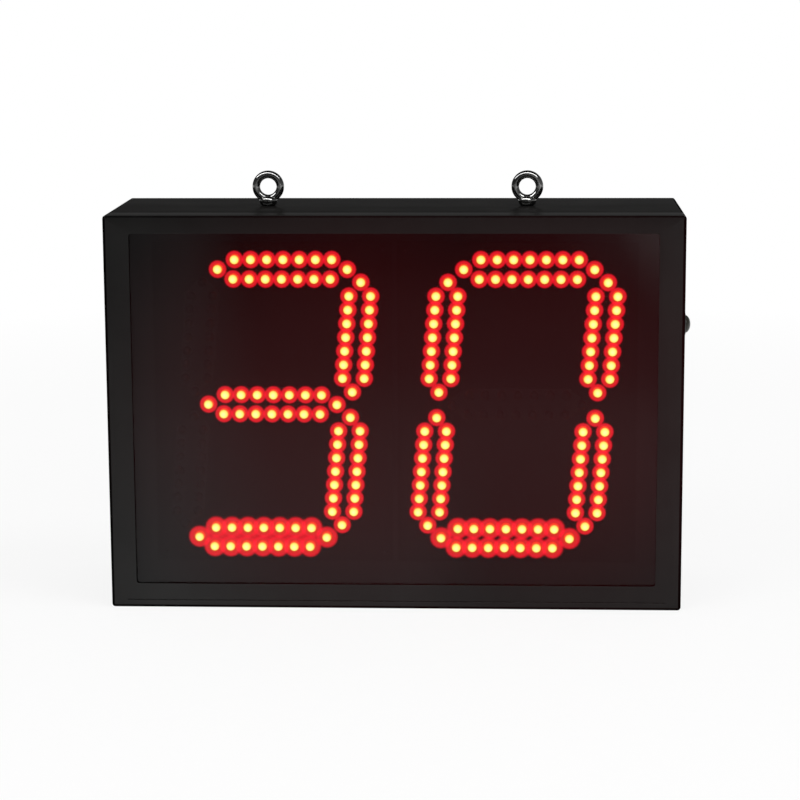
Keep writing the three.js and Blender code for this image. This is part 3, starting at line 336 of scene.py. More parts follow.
def bumped(tree, height, depth):
    """The normal of a height whose full depth is given in millimetres."""
    return put_node(tree, "Bump", {"Height": height, "Distance": depth * MM}).outputs[0]


def surface_grain(tree, given):
    """Fine grain for a bump and slow patches for colour and gloss."""
    stretched = put_node(
        tree, "VectorMath", {0: own_place(tree), 1: given["Stretch"]}, operation="MULTIPLY"
    )
    fine = noise(tree, given["Fineness"], 3.0, stretched.outputs[0])
    return {"Height": fine, "Patches": ranged(tree, noise(tree, 16.0, 5.0), 0.35, 0.68)}


def edge_wear(tree, given):
    """A broken mask along the edges that hands and tools rub."""
    eased = put_node(tree, "Bevel", {"Radius": given["Reach"]}, samples=4).outputs[0]
    plain = put_node(tree, "NewGeometry").outputs["Normal"]
    turn = put_node(tree, "VectorMath", {0: eased, 1: plain}, operation="DOT_PRODUCT")
    edge = ranged(tree, turn.outputs["Value"], 0.995, 0.93)
    patchy = ranged(tree, noise(tree, 190.0, 4.0), 0.42, 0.62)
    return {"Mask": times(tree, edge, patchy, given["Amount"])}


def settled_dust(tree, given):
    """Dust on faces that look up."""
    normal = put_node(tree, "NewGeometry").outputs["Normal"]
    upward = ranged(tree, axis_of(tree, normal, "Z"), 0.6, 1.0)
    heaped = ranged(tree, noise(tree, 26.0, 6.0), 0.38, 0.75, 0.2)
    speckled = ranged(tree, noise(tree, 1400.0, 2.0), 0.4, 0.7, 0.3)
    return {"Mask": times(tree, heaped, speckled, upward, given["Amount"])}


def painted_lamp_spill(tree, given):
    """Where painted lamp light glows on the front, strongest round the lit half of the left digit
    and the right.
    """
    shares = []
    for centre in ((-0.03, -0.09, 0.22), (0.17, -0.09, 0.22)):
        gap = put_node(tree, "VectorMath", {0: own_place(tree), 1: centre}, operation="DISTANCE")
        gap = gap.outputs["Value"]
        shares.append(ranged(tree, gap, given["Far"], given["Near"], kind="SMOOTHSTEP"))
    return {"Mask": larger(tree, *shares)}


# Each group's maker and its inputs
GROUPS = {
    "Surface Grain": (surface_grain, {"Stretch": (1, 1, 1), "Fineness": 900.0}),
    "Edge Wear": (edge_wear, {"Reach": 0.8 * MM, "Amount": 1.0}),
    "Settled Dust": (settled_dust, {"Amount": 0.3}),
    "Painted Lamp Spill": (painted_lamp_spill, {"Near": 0.08, "Far": 0.32}),
}


def built_group(name):
    """Builds a node group with its named inputs and outputs."""
    maker, inputs = GROUPS[name]
    group = bpy.data.node_groups.new(name, "ShaderNodeTree")
    for label, default in inputs.items():
        kind = "NodeSocketVector" if isinstance(default, tuple) else "NodeSocketFloat"
        socket = group.interface.new_socket(name=label, in_out="INPUT", socket_type=kind)
        socket.default_value = default
    outputs = maker(group, group.nodes.new("NodeGroupInput").outputs)
    for label in outputs:
        group.interface.new_socket(name=label, in_out="OUTPUT", socket_type="NodeSocketFloat")
    join(group, group.nodes.new("NodeGroupOutput"), outputs)
    return group


def from_group(tree, name, sockets=None):
    """The outputs of a node group, which is built the first time that it is asked for."""
    group = bpy.data.node_groups.get(name) or built_group(name)
    return put_node(tree, "Group", sockets, node_tree=group).outputs


def bare_material(name):
    """A new material with its tree and a Principled shader on its output."""
    material = bpy.data.materials.new(name)
    material.use_nodes = True
    tree = material.node_tree
    tree.nodes.clear()
    shader = put_node(tree, "BsdfPrincipled")
    put_node(tree, "OutputMaterial", {"Surface": shader.outputs[0]})
    return material, tree, shader


def cover(
    tree, shader, base, roughness, metallic=0.0, fineness=900.0, stretch=(1, 1, 1), depth=0.04,
    patches=0.25, worn=None, wear=0.0, reach=0.8, dust=0.0, dust_colour=(0.2, 0.19, 0.175),
    specular=0.5, coat=0.0, pattern=None,
):
    """Gives a shader grain, patches, rubbed edges and dust; depth and reach in millimetres."""
    grain = from_group(tree, "Surface Grain", {"Stretch": stretch, "Fineness": fineness})
    lighter = [min(1.0, part * 1.7 + 0.004) for part in base]
    shade = blended(tree, times(tree, grain["Patches"], patches), base, lighter)
    gloss = ranged(tree, grain["Patches"], 0.0, 1.0, roughness - 0.05, roughness + 0.06)
    height = grain["Height"]
    if pattern:
        shade, height = pattern(tree, shade, height)
    if wear:
        rubbed = from_group(tree, "Edge Wear", {"Reach": reach * MM, "Amount": wear})
        shade = blended(tree, rubbed["Mask"], shade, worn or lighter)
    if dust:
        settled = from_group(tree, "Settled Dust", {"Amount": dust})
        shade = blended(tree, settled["Mask"], shade, dust_colour)
        gloss = plus(tree, gloss, times(tree, settled["Mask"], 0.8))
    join(tree, shader, {
        "Base Color": shade, "Roughness": gloss, "Metallic": metallic,
        "Specular IOR Level": specular, "Coat Weight": coat,
        "Normal": bumped(tree, height, depth),
    })


def surface_finish(name, base, roughness, **settings):
    """A solid finish with nothing more than its cover."""
    material, tree, shader = bare_material(name)
    cover(tree, shader, base, roughness, **settings)
    return material


def board_tracks(tree, shade, height):
    """Copper tracks and pads under a solder mask."""
    upright = put_node(
        tree, "Mapping", {"Vector": own_place(tree), "Rotation": (math.pi / 2, 0, 0)}
    )
    bricks = put_node(tree, "TexBrick", {
        "Vector": upright.outputs[0], "Scale": 130.0, "Mortar Size": 0.035, "Mortar Smooth": 0.2,
        "Brick Width": 0.9, "Row Height": 0.35, "Color1": BLACK, "Color2": BLACK, "Mortar": WHITE,
    })
    track = put_node(tree, "RGBToBW", {"Color": bricks.outputs["Color"]}).outputs[0]
    shade = blended(tree, times(tree, track, 0.35), shade, (0.08, 0.13, 0.06))
    return shade, plus(tree, height, track)


def ribbon_ribs(tree, shade, height):
    """The cores of a flat cable as ribs, 1.27 mm apart, with a painted highlight on their crests.
    """
    turns = times(tree, axis_of(tree, own_place(tree), "Z"), 2 * math.pi / (1.27 * MM))
    wave = put_node(tree, "Math", {0: turns}, operation="SINE").outputs[0]
    rib = ranged(tree, wave, -1.0, 1.0)
    # Painted highlight: the crests are blended towards a paler grey
    return blended(tree, times(tree, rib, 0.3), shade, (0.5, 0.52, 0.53)), rib


def foam_cells(tree, shade, height):
    """Open cells of cut foam."""
    cells = put_node(tree, "TexVoronoi", {"Vector": own_place(tree), "Scale": 1500.0})
    return shade, cells.outputs["Distance"]


def sheet_finish(colours, name, paint, gloss_facing, gloss_along, wear=0.5):
    """Black satin powder coat: a thin gloss that fades where it is seen along the sheet."""
    material, tree, shader = bare_material(name)
    cover(
        tree, shader, paint, 0.5, fineness=1150.0, depth=0.02, patches=0.3,
        worn=colours.worn_paint, wear=wear, dust=0.03, dust_colour=colours.dust, specular=0.0,
    )
    turned_away = put_node(tree, "LayerWeight", {"Blend": 0.5}).outputs["Facing"]
    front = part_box("front_bezel")[0].y
    on_front = ranged(
        tree, axis_of(tree, own_place(tree), "Y"), front + 2.5 * MM, front + 1.5 * MM
    )
    # Painted light: the front of the paint glows faintly red near the lit digits, standing in for
    # lamp light
    light = times(tree, from_group(tree, "Painted Lamp Spill")["Mask"], on_front)
    join(tree, shader, {
        "Coat Weight": ranged(tree, turned_away, 0.15, 0.85, gloss_facing, gloss_along),
        "Coat Roughness": 0.28,
        "Emission Color": blended(tree, light, BLACK, colours.painted_spill),
        "Emission Strength": 0.009,
    })
    return material


def window_finish(colours):
    """Smoked acrylic with faint wiping marks and a faint painted red glow of lamp light."""
    material, tree, shader = bare_material("Smoked acrylic")
    wiped = put_node(
        tree, "Mapping",
        {"Vector": own_place(tree), "Scale": (3, 1, 30), "Rotation": (0, 0.5, 0)},
    )
    marks = noise(tree, 9.0, 6.0, wiped.outputs[0])
    # Painted light: the window glows faintly red near the lit digits
    light = from_group(tree, "Painted Lamp Spill")["Mask"]
    join(tree, shader, {
        "Base Color": colours.window,
        "Transmission Weight": 1.0,
        "IOR": 1.24,
        "Roughness": ranged(tree, marks, 0.45, 0.75, 0.015, 0.06),
        "Emission Color": blended(tree, light, BLACK, colours.painted_spill),
        "Emission Strength": 0.0135,
    })
    return material


def chrome_finish(colours):
    """Bright plating with faint pits and smears."""
    material, tree, shader = bare_material("Bright plating")
    grain = from_group(tree, "Surface Grain", {"Fineness": 420.0})
    smears = times(tree, grain["Patches"], 0.35)
    join(tree, shader, {
        "Base Color": blended(tree, smears, colours.chrome, (0.5, 0.5, 0.48)),
        "Metallic": 1.0,
        "Roughness": ranged(tree, grain["Patches"], 0.0, 1.0, 0.05, 0.16),
        "Normal": bumped(tree, grain["Height"], 0.08),
    })
    return material


def lit_finish(lamps):
    """A lit lamp: a yellow-white tip that turns orange and red down its side."""
    material, tree, shader = bare_material("Lit lamp")
    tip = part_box("left_segment_a")[0].y
    depth = ranged(tree, axis_of(tree, own_place(tree), "Y"), tip, tip + lamps.stand)
    light = ramp(tree, depth, [
        (0.0, (0.81, 1.0, 0.41)),
        (0.015, (0.81, 0.99, 0.36)),
        (0.05, (0.81, 0.97, 0.27)),
        (0.115, (0.81, 0.87, 0.19)),
        (0.235, (0.81, 0.7, 0.12)),
        (0.36, (0.66, 0.16, 0.03)),
        (0.55, (0.55, 0.04, 0.01)),
        (1.0, (0.4, 0.01, 0.008)),
    ])
    grain = from_group(tree, "Surface Grain", {"Fineness": 700.0})
    join(tree, shader, {
        "Base Color": (0.1, 0.004, 0.002),
        "Roughness": 0.3,
        "Emission Color": light,
        "Emission Strength": 6.5,
        "Normal": bumped(tree, grain["Height"], 0.02),
    })
    return material


def glow_finish():
    """Red light round a lamp: full by the lamp and gone at the rim."""
    material, tree, shader = bare_material("Lamp glow")
    reach = put_node(tree, "Attribute", attribute_name="reach").outputs["Fac"]
    light = ramp(tree, reach, [
        (0.0, (0.84, 0.062, 0.008)),
        (0.25, (0.92, 0.03, 0.02)),
        (0.5, (1.0, 0.013, 0.032)),
        (0.8, (0.97, 0.003, 0.018)),
        (1.0, (0.95, 0.001, 0.008)),
    ])
    fading = ranged(tree, reach, 1.0, 0.58, 0.0, 0.37, kind="SMOOTHSTEP")
    from_front = rest_of(tree, put_node(tree, "NewGeometry").outputs["Backfacing"])
    join(tree, shader, {
        "Base Color": BLACK,
        "Roughness": 1.0,
        "Specular IOR Level": 0.0,
        "Emission Color": light,
        "Emission Strength": 10.5,
        "Alpha": times(tree, fading, from_front),
    })
    return material


def glass_finish():
    """Clear fuse glass with a faint green cast."""
    material, tree, shader = bare_material("Fuse glass")
    grain = from_group(tree, "Surface Grain", {"Fineness": 500.0})
    join(tree, shader, {
        "Base Color": (0.82, 0.88, 0.86),
        "Transmission Weight": 0.9,
        "IOR": 1.47,
        "Roughness": ranged(tree, grain["Patches"], 0.0, 1.0, 0.03, 0.1),
    })
    return material


@functools.cache
def finishes():
    """Every finish by name, made the first time that one is asked for."""
    colours = bpy.context.scene.shot_clock_colours
    return {
        "painted_cabinet": sheet_finish(colours, "Black powder coat", colours.paint, 0.46, 0.07),
        "painted_bezel": sheet_finish(colours, "Bezel powder coat", colours.paint, 0.34, 0.14),
        # Painted shade: a near-black copy of the powder coat for the rounded bends and corners
        "bend_painted_shade": sheet_finish(colours, "Bend painted shade", colours.bend, 0.015, 0.0, wear=0.0),
        "smoked_window": window_finish(colours),
        "foam": surface_finish(
            "Foam tape", (0.01, 0.01, 0.01), 0.95, depth=0.3, pattern=foam_cells, specular=0.2
        ),
        "zinc_steel": surface_finish(
            "Zinc plate", colours.zinc, 0.34, metallic=0.95, fineness=260.0, patches=0.5,
            depth=0.02, worn=(0.7, 0.7, 0.7), wear=0.4,
        ),
        "screw_steel": surface_finish(
            "Black oxide", colours.black_oxide, 0.38, metallic=0.7, fineness=1500.0,
            worn=(0.3, 0.29, 0.28), wear=0.9, reach=0.4, dust=0.05,
        ),
        "chassis_aluminium": surface_finish(
            "Anodised sheet", (0.03, 0.03, 0.032), 0.45, metallic=0.6, stretch=(0.05, 1, 1),
            depth=0.03,
        ),
        "black_board": surface_finish(
            "Black board", colours.board, 0.7, fineness=500.0, depth=0.005, patches=0.4,
            specular=0.15,
        ),
        "green_board": surface_finish(
            "Green solder mask", colours.green, 0.32, pattern=board_tracks, coat=0.2
        ),
        "lit_lamp": lit_finish(bpy.context.scene.shot_clock_lamps),
        "lamp_glow": glow_finish(),
        "dark_lamp": surface_finish(
            "Unlit lamp", colours.unlit, 0.35, fineness=600.0, depth=0.01, specular=0.15
        ),
        "lamp_strip": surface_finish(
            "Carrier strip", (0.005, 0.005, 0.005), 0.6, fineness=1200.0, depth=0.05
        ),
        "eyebolt_chrome": chrome_finish(colours),
        "black_plastic": surface_finish(
            "Black nylon", colours.plastic, 0.46, fineness=1700.0, worn=(0.07, 0.07, 0.07),
            wear=0.4, reach=0.4, dust=0.04,
        ),
        "button_plastic": surface_finish(
            "Satin cap", colours.cap, 0.36, fineness=1500.0, depth=0.02,
            worn=(0.12, 0.118, 0.1), wear=0.4, reach=0.6, specular=0.3,
        ),
        "rocker_red": surface_finish(
            "Red rocker", colours.rocker, 0.22, fineness=1400.0, depth=0.01, coat=0.3,
            worn=(0.4, 0.05, 0.04), wear=0.3, reach=0.4,
        ),
        "terminal_green": surface_finish("Green terminals", (0.015, 0.2, 0.07), 0.42),
        "contact": surface_finish(
            "Tinned contact", (0.62, 0.6, 0.55), 0.25, metallic=1.0, fineness=800.0, depth=0.01,
            worn=(0.8, 0.78, 0.7), wear=0.4, reach=0.4,
        ),
        "white_mark": surface_finish("Printed mark", (0.75, 0.75, 0.72), 0.5, fineness=2200.0),
        "fuse_glass": glass_finish(),
        "ribbon_grey": surface_finish(
            "Flat cable", (0.27, 0.29, 0.3), 0.5, pattern=ribbon_ribs, depth=0.2
        ),
        "lead_sheath": surface_finish("Lead sheath", (0.04, 0.043, 0.047), 0.55, patches=0.5),
    }


# Mesh building


def middle_of(node):
    """The middle of a node's box."""
    low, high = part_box(node)
    return (low + high) / 2


def inside(extent, inset):
    """A (half width, lowest, highest) extent drawn in on every side."""
    half, low, high = extent
    return half - inset, low + inset, high - inset


def facing(direction, place):
    """The transform that stands Z along a direction at a place."""
    turn = Z_AXIS.rotation_difference(Vector(direction)).to_matrix().to_4x4()
    return Matrix.Translation(place) @ turn


def moved(bm, matrix):
    """The same shape, moved by a matrix."""
    bmesh.ops.transform(bm, matrix=matrix, verts=bm.verts)
    return bm


def spun(bm, axis, steps):
    """Spins a profile right round an axis through the origin."""
    bmesh.ops.spin(
        bm, geom=[*bm.verts, *bm.edges], cent=(0, 0, 0), axis=axis, dvec=(0, 0, 0),
        angle=2 * math.pi, steps=steps, use_merge=True, use_normal_flip=False,
        use_duplicate=False,
    )
    return pointed_out(bm)


def pointed_out(bm):
    """Merges doubles and turns the faces outwards."""
    bmesh.ops.remove_doubles(bm, verts=bm.verts, dist=MERGED)
    bmesh.ops.recalc_face_normals(bm, faces=bm.faces)
    return bm


def turned(profile, steps):
    """A shape turned about Z from (radius, height) pairs in millimetres."""
    bm = bmesh.new()
    verts = [bm.verts.new((radius * MM, 0, height * MM)) for radius, height in profile]
    for pair in zip(verts, verts[1:]):
        bm.edges.new(pair)
    return spun(bm, Z_AXIS, steps)


def quarter_round(radius, low, high, steps):
    """The rest of a profile from a shoulder up to the axis."""
    angles = [step / steps * math.pi / 2 for step in range(1, steps)]
    rise = high - low
    return [(radius * math.cos(a), low + rise * math.sin(a)) for a in angles] + [(0, high)]


def rounded_profile(points, radius, steps=3):
    """A profile in millimetres whose inner corners are rounded off."""
    rounded = [points[0]]
    for before, corner, after in zip(points, points[1:], points[2:]):
        corner, before, after = Vector(corner), Vector(before), Vector(after)
        reach = min(radius, (before - corner).length / 2.01, (after - corner).length / 2.01)
        start = corner + (before - corner).normalized() * reach
        end = corner + (after - corner).normalized() * reach
        for step in range(steps + 1):
            share = step / steps
            bend = start.lerp(corner, share).lerp(corner.lerp(end, share), share)
            rounded.append(tuple(bend))
    return [*rounded, points[-1]]


def bevelled(bm, geom, width, steps, affect="EDGES", clamp=False):
    """Rounds edges, or the corners of a face."""
    bmesh.ops.bevel(
        bm, geom=geom, offset=width, offset_type="OFFSET", segments=steps, profile=0.5,
        affect=affect, material=-1, clamp_overlap=clamp,
    )


def filled(bm, edges):
    """Fills a flat outline round the holes in it."""
    bmesh.ops.triangle_fill(bm, use_beauty=True, use_dissolve=False, edges=edges)


def circle(bm, place, direction, radius, steps):
    """The edges of a circle about a direction."""
    made = bmesh.ops.create_circle(
        bm, cap_ends=False, radius=radius, segments=steps, matrix=facing(direction, place)
    )
    return list(dict.fromkeys(e for v in made["verts"] for e in v.link_edges))


def hole(bm, node, axis, plane, radius, steps):
    """The edges of a round hole in line with a node, in a plane across an axis."""
    place = middle_of(node)
    return circle(bm, place - axis * (place.dot(axis) - plane), axis, radius, steps)


def outline(bm, y, extent, radius, steps, x=0):
    """The edges of a rounded rectangle in a plane across Y."""
    half, low, high = extent
    kept = set(bm.faces)
    around = [(x - half, low), (x + half, low), (x + half, high), (x - half, high)]
    corners = [bm.verts.new((across, y, z)) for across, z in around]
    bm.faces.new(corners)
    bevelled(bm, corners, radius, steps, affect="VERTICES")
    face = next(f for f in bm.faces if f not in kept)
    edges = list(face.edges)
    bmesh.ops.delete(bm, geom=[face], context="FACES_ONLY")
    return edges


def extruded(bm, edges):
    """Extrudes edges in place, and gives the verts and the edges of the new end."""
    made = bmesh.ops.extrude_edge_only(bm, edges=edges)["geom"]
    verts = [g for g in made if isinstance(g, bmesh.types.BMVert)]
    ends = set(verts)
    return verts, [e for e in bm.edges if e.verts[0] in ends and e.verts[1] in ends]


def drawn(bm, loop, y, extent):
    """Extrudes a loop to another plane and extent, and gives its new end."""
    half, low, high = extent
    verts, edges = extruded(bm, loop)
    xs = [v.co.x for v in verts]
    zs = [v.co.z for v in verts]
    middle = Vector((0, verts[0].co.y, (min(zs) + max(zs)) / 2))
    factors = Vector((2 * half / (max(xs) - min(xs)), 1, (high - low) / (max(zs) - min(zs))))
    bmesh.ops.scale(bm, vec=factors, space=Matrix.Translation(-middle), verts=verts)
    bmesh.ops.translate(bm, vec=Vector((0, y, (low + high) / 2)) - middle, verts=verts)
    return edges


def lies_in(face, axis, plane):
    """Whether a face lies in a plane across an axis."""
    return all(abs(v.co.dot(axis) - plane) < SLACK for v in face.verts)


def pierced(bm, nodes, axis, plane, radius, steps):
    """Opens a round hole in line with each node in the largest face of a plane."""
    face = max((f for f in bm.faces if lies_in(f, axis, plane)), key=lambda f: f.calc_area())
    edges = list(face.edges)
    bmesh.ops.delete(bm, geom=[face], context="FACES_ONLY")
    for node in nodes:
        edges += hole(bm, node, axis, plane, radius, steps)
    filled(bm, edges)


def mark_bends(bm):
    """Gives the faces of bends and corners the second finish, their painted shade."""
    bm.normal_update()
    for face in bm.faces:
        face.material_index = 0 if max(abs(part) for part in face.normal) > FLAT else 1


def to_mesh(name, bm):
    """The mesh of a bmesh, which is freed."""
    mesh = bpy.data.meshes.new(name)
    bm.to_mesh(mesh)
    bm.free()
    return mesh


def put(bm, part, matrix, finish=0):
    """Moves a part into a piece and frees it."""
    for face in part.faces:
        face.material_index = finish
    held = to_mesh("held", moved(part, matrix))
    bm.from_mesh(held)
    bpy.data.meshes.remove(held)


def scattered(bm, part, places, finish=0):
    """Puts a copy of a part at each place, turned to the front, and frees the part."""
    for place in places:
        put(bm, part.copy(), facing(-Y_AXIS, place), finish)
    part.free()


def linked(name, data):
    """A new object in the scene."""
    made = bpy.data.objects.new(name, data)
    bpy.context.scene.collection.objects.link(made)
    return made


def finished_piece(name, bm, node, slot, finish_names=None, body="cabinet", angle=35):
    """Makes the object of a bmesh, rides it on its body and stands it for its node."""
    mesh = to_mesh(name, bm)
    for finish_name in finish_names or [slot]:
        mesh.materials.append(finishes()[finish_name])
    mesh.shade_smooth()
    mesh.set_sharp_from_angle(angle=math.radians(angle))
    piece = linked(name, mesh)
    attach(piece, body)
    if node:
        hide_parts(node)
    return piece


def rounded(piece, width):
    """Rounds the sharp edges of a piece."""
    edge = piece.modifiers.new("Rounding", "BEVEL")
    edge.width = width
    edge.segments = 2
    edge.limit_method = "ANGLE"
    edge.angle_limit = math.radians(32)
    edge.harden_normals = True


def thickened(piece, metal):
    """Gives a sheet its thickness and rounds its cut edges."""
    solid = piece.modifiers.new("Thickness", "SOLIDIFY")
    solid.thickness = metal.sheet
    solid.offset = -1
    solid.use_even_offset = True
    rounded(piece, metal.edge_round)


def softened_copy(node, name, slot, width, body="cabinet", finish_names=None, sort_faces=None):
    """A copy of a node with its facets joined and its sharp edges rounded."""
    bm = bmesh.new()
    bm.from_mesh(frame["nodes"][node].data)
    bmesh.ops.remove_doubles(bm, verts=bm.verts, dist=0.01 * MM)
    bmesh.ops.dissolve_limit(
        bm, angle_limit=math.radians(1), verts=bm.verts, edges=bm.edges,
        use_dissolve_boundaries=False, delimit=set(),
    )
    for face in bm.faces:
        face.material_index = sort_faces(face.calc_center_median()) if sort_faces else 0
    piece = finished_piece(name, bm, node, slot, finish_names, body, angle=28)
    rounded(piece, width)


def dress(finish_names):
    """Gives nodes that keep their shape their finishes."""
    for node, finish_name in finish_names.items():
        piece = frame["nodes"][node]
        piece.data.materials.clear()
        piece.data.materials.append(finishes()[finish_name])


# Operators, one for each group of pieces


class SHOTCLOCK_OT_cabinet_shell(bpy.types.Operator):
    """Make the folded cabinet shell"""

    bl_idname = "shot_clock.cabinet_shell"
    bl_label = "Cabinet Shell"

    def execute(self, context):
        metal = context.scene.shot_clock_metal
        low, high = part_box("cabinet_body")
        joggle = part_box("front_bezel")[1].y + metal.seam
        outer = (high.x, 0, high.z)
        lip = inside(outer, metal.lip_inset)
        bm = bmesh.new()
        loop = outline(bm, low.y, lip, metal.corner_radius, metal.corner_steps)
        loop = drawn(bm, loop, joggle, lip)
        step = drawn(bm, loop, joggle, outer)
        fold = drawn(bm, step, high.y, outer)
        drawn(bm, fold, high.y, inside(outer, metal.rear_flange))
        bevelled(bm, step, metal.joggle_radius, 2)
        bevelled(bm, fold, metal.fold_radius, 4)
        bolts = [f"eyebolt_{side}" for side in SIDES]
        pierced(bm, bolts, Z_AXIS, high.z, metal.shank_hole, 24)
        pierced(bm, ["button_bushing"], X_AXIS, high.x, metal.barrel_hole, 32)
        mark_bends(pointed_out(bm))
        piece = finished_piece(
            "cabinet_shell", bm, "cabinet_body", "painted_cabinet",
            ["painted_cabinet", "bend_painted_shade"],
        )
        thickened(piece, metal)
        return {"FINISHED"}


class SHOTCLOCK_OT_front_bezel(bpy.types.Operator):
    """Make the front bezel with its rounded edge and the groove under the window"""

    bl_idname = "shot_clock.front_bezel"
    bl_label = "Front Bezel"

    def execute(self, context):
        metal = context.scene.shot_clock_metal
        low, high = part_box("front_bezel")
        pane_low, pane_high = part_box("front_window")
        outer = (high.x, 0, high.z)
        opening = inside((pane_high.x, pane_low.z, pane_high.z), metal.window_overlap)
        bm = bmesh.new()
        loop = outline(bm, high.y, outer, metal.corner_radius, metal.corner_steps)
        front = drawn(bm, loop, low.y, outer)
        drawn(bm, front, low.y, opening)
        bevelled(bm, front, metal.front_radius, 5)
        self.cut_groove(bm, metal, low.y, high.x - metal.groove_inset, opening[1])
        screws = [f"bezel_screw_{side}" for side in SIDES]
        pierced(bm, screws, Z_AXIS, 0, metal.bezel_hole, 20)
        mark_bends(pointed_out(bm))
        self.trim_bend_painted_shade(bm)
        piece = finished_piece(
            "front_bezel_frame", bm, "front_bezel", "painted_cabinet",
            ["painted_bezel", "bend_painted_shade"],
        )
        thickened(piece, metal)
        return {"FINISHED"}

    def cut_groove(self, bm, metal, front, reach, sill):
        """Sinks the straight groove into the lower border."""
        half = metal.groove_width / 2

        def border():
            faces = [f for f in bm.faces if lies_in(f, Y_AXIS, front)]
            return [f for f in faces if f.calc_center_median().z < sill]

        cuts = [(Z_AXIS, metal.groove_height + side * half) for side in (-1, 1)]
        cuts += [(X_AXIS, side * reach) for side in (-1, 1)]
        for axis, place in cuts:
            parts = dict.fromkeys(p for f in border() for p in (f, *f.edges, *f.verts))
            bmesh.ops.bisect_plane(
                bm, geom=list(parts), dist=0.1 * SLACK, plane_co=axis * place, plane_no=axis
            )
        middles = [(f, f.calc_center_median()) for f in border()]
        sunk = [
            f for f, middle in middles
            if abs(middle.z - metal.groove_height) < half and abs(middle.x) < reach
        ]
        bm.normal_update()
        depth = metal.groove_depth * (-1 if sunk[0].normal.y < 0 else 1)
        bmesh.ops.inset_region(
            bm, faces=sunk, thickness=metal.groove_slope, depth=depth, use_even_offset=True,
            use_boundary=True,
        )

    def trim_bend_painted_shade(self, bm):
        """Leaves the painted shade of an upper bend only on its sloped middle."""
        for face in bm.faces:
            rise = face.normal.z
            if rise > 0.1 and not 0.3 < rise < 0.8:
                face.material_index = 0


class SHOTCLOCK_OT_rear_cover(bpy.types.Operator):
    """Make the rear cover with its vents, grille and cut-out"""

    bl_idname = "shot_clock.rear_cover"
    bl_label = "Rear Cover"

    def execute(self, context):
        metal = context.scene.shot_clock_metal
        holes = context.scene.shot_clock_rear
        low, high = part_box("rear_cover")
        y = high.y
        bm = bmesh.new()
        edges = outline(
            bm, y, (high.x, low.z, high.z), metal.corner_radius, metal.corner_steps
        )
        for row in ROWS:
            for column in COLUMNS:
                node = f"rear_screw_{row}_{column}"
                edges += hole(bm, node, Y_AXIS, y, holes.screw_hole, 16)
        edges += self.grille(bm, holes, y)
        for side in (-1, 1):
            edges += self.vent_bank(bm, holes, side * holes.bank_place, y)
        inlet = middle_of("mains_inlet")
        module = (holes.module_width, holes.module_height, holes.module_round)
        edges += self.window(bm, inlet.x, inlet.z, y, *module)
        filled(bm, edges)
        bm.normal_update()
        bmesh.ops.reverse_faces(bm, faces=[f for f in bm.faces if f.normal.y < 0])
        piece = finished_piece("rear_cover_sheet", bm, "rear_cover", "painted_cabinet")
        thickened(piece, metal)
        return {"FINISHED"}

    def grille(self, bm, holes, y):
        """A hole over the sounder and a ring of holes round it."""
        edges = hole(bm, "sounder", Y_AXIS, y, holes.grille_hole, 16)
        middle = middle_of("sounder")
        reach = holes.grille_radius
        for step in range(holes.grille_holes):
            angle = step / holes.grille_holes * 2 * math.pi
            place = (middle.x + reach * math.cos(angle), y, middle.z + reach * math.sin(angle))
            edges += circle(bm, place, Y_AXIS, holes.grille_hole, 16)
        return edges

    def vent_bank(self, bm, holes, x, y):
        """A field of the cover with its slots, filled on its own; gives back its rim."""
        pitch, middle = holes.vent_pitch, holes.bank_height
        slot = (holes.vent_length, holes.vent_height, holes.vent_round)
        edges = []
        for step in range(holes.vents):
            z = middle + (step - (holes.vents - 1) / 2) * pitch
            edges += self.window(bm, x, z, y, *slot)
        field = (holes.vent_length + 2 * pitch, pitch * (holes.vents + 1), pitch / 2)
        rim = self.window(bm, x, middle, y, *field)
        filled(bm, edges + rim)
        return rim

    def window(self, bm, x, z, y, width, height, radius):
        """A rounded rectangular hole."""
        return outline(bm, y, (width / 2, z - height / 2, z + height / 2), radius, 4, x)


class SHOTCLOCK_OT_window(bpy.types.Operator):
    """Finish the smoked window with its gasket and retainer"""

    bl_idname = "shot_clock.window"
    bl_label = "Window"

    def execute(self, context):
        dress({
            "front_window": "smoked_window", "window_gasket": "foam",
            "window_retainer": "zinc_steel",
        })
        return {"FINISHED"}


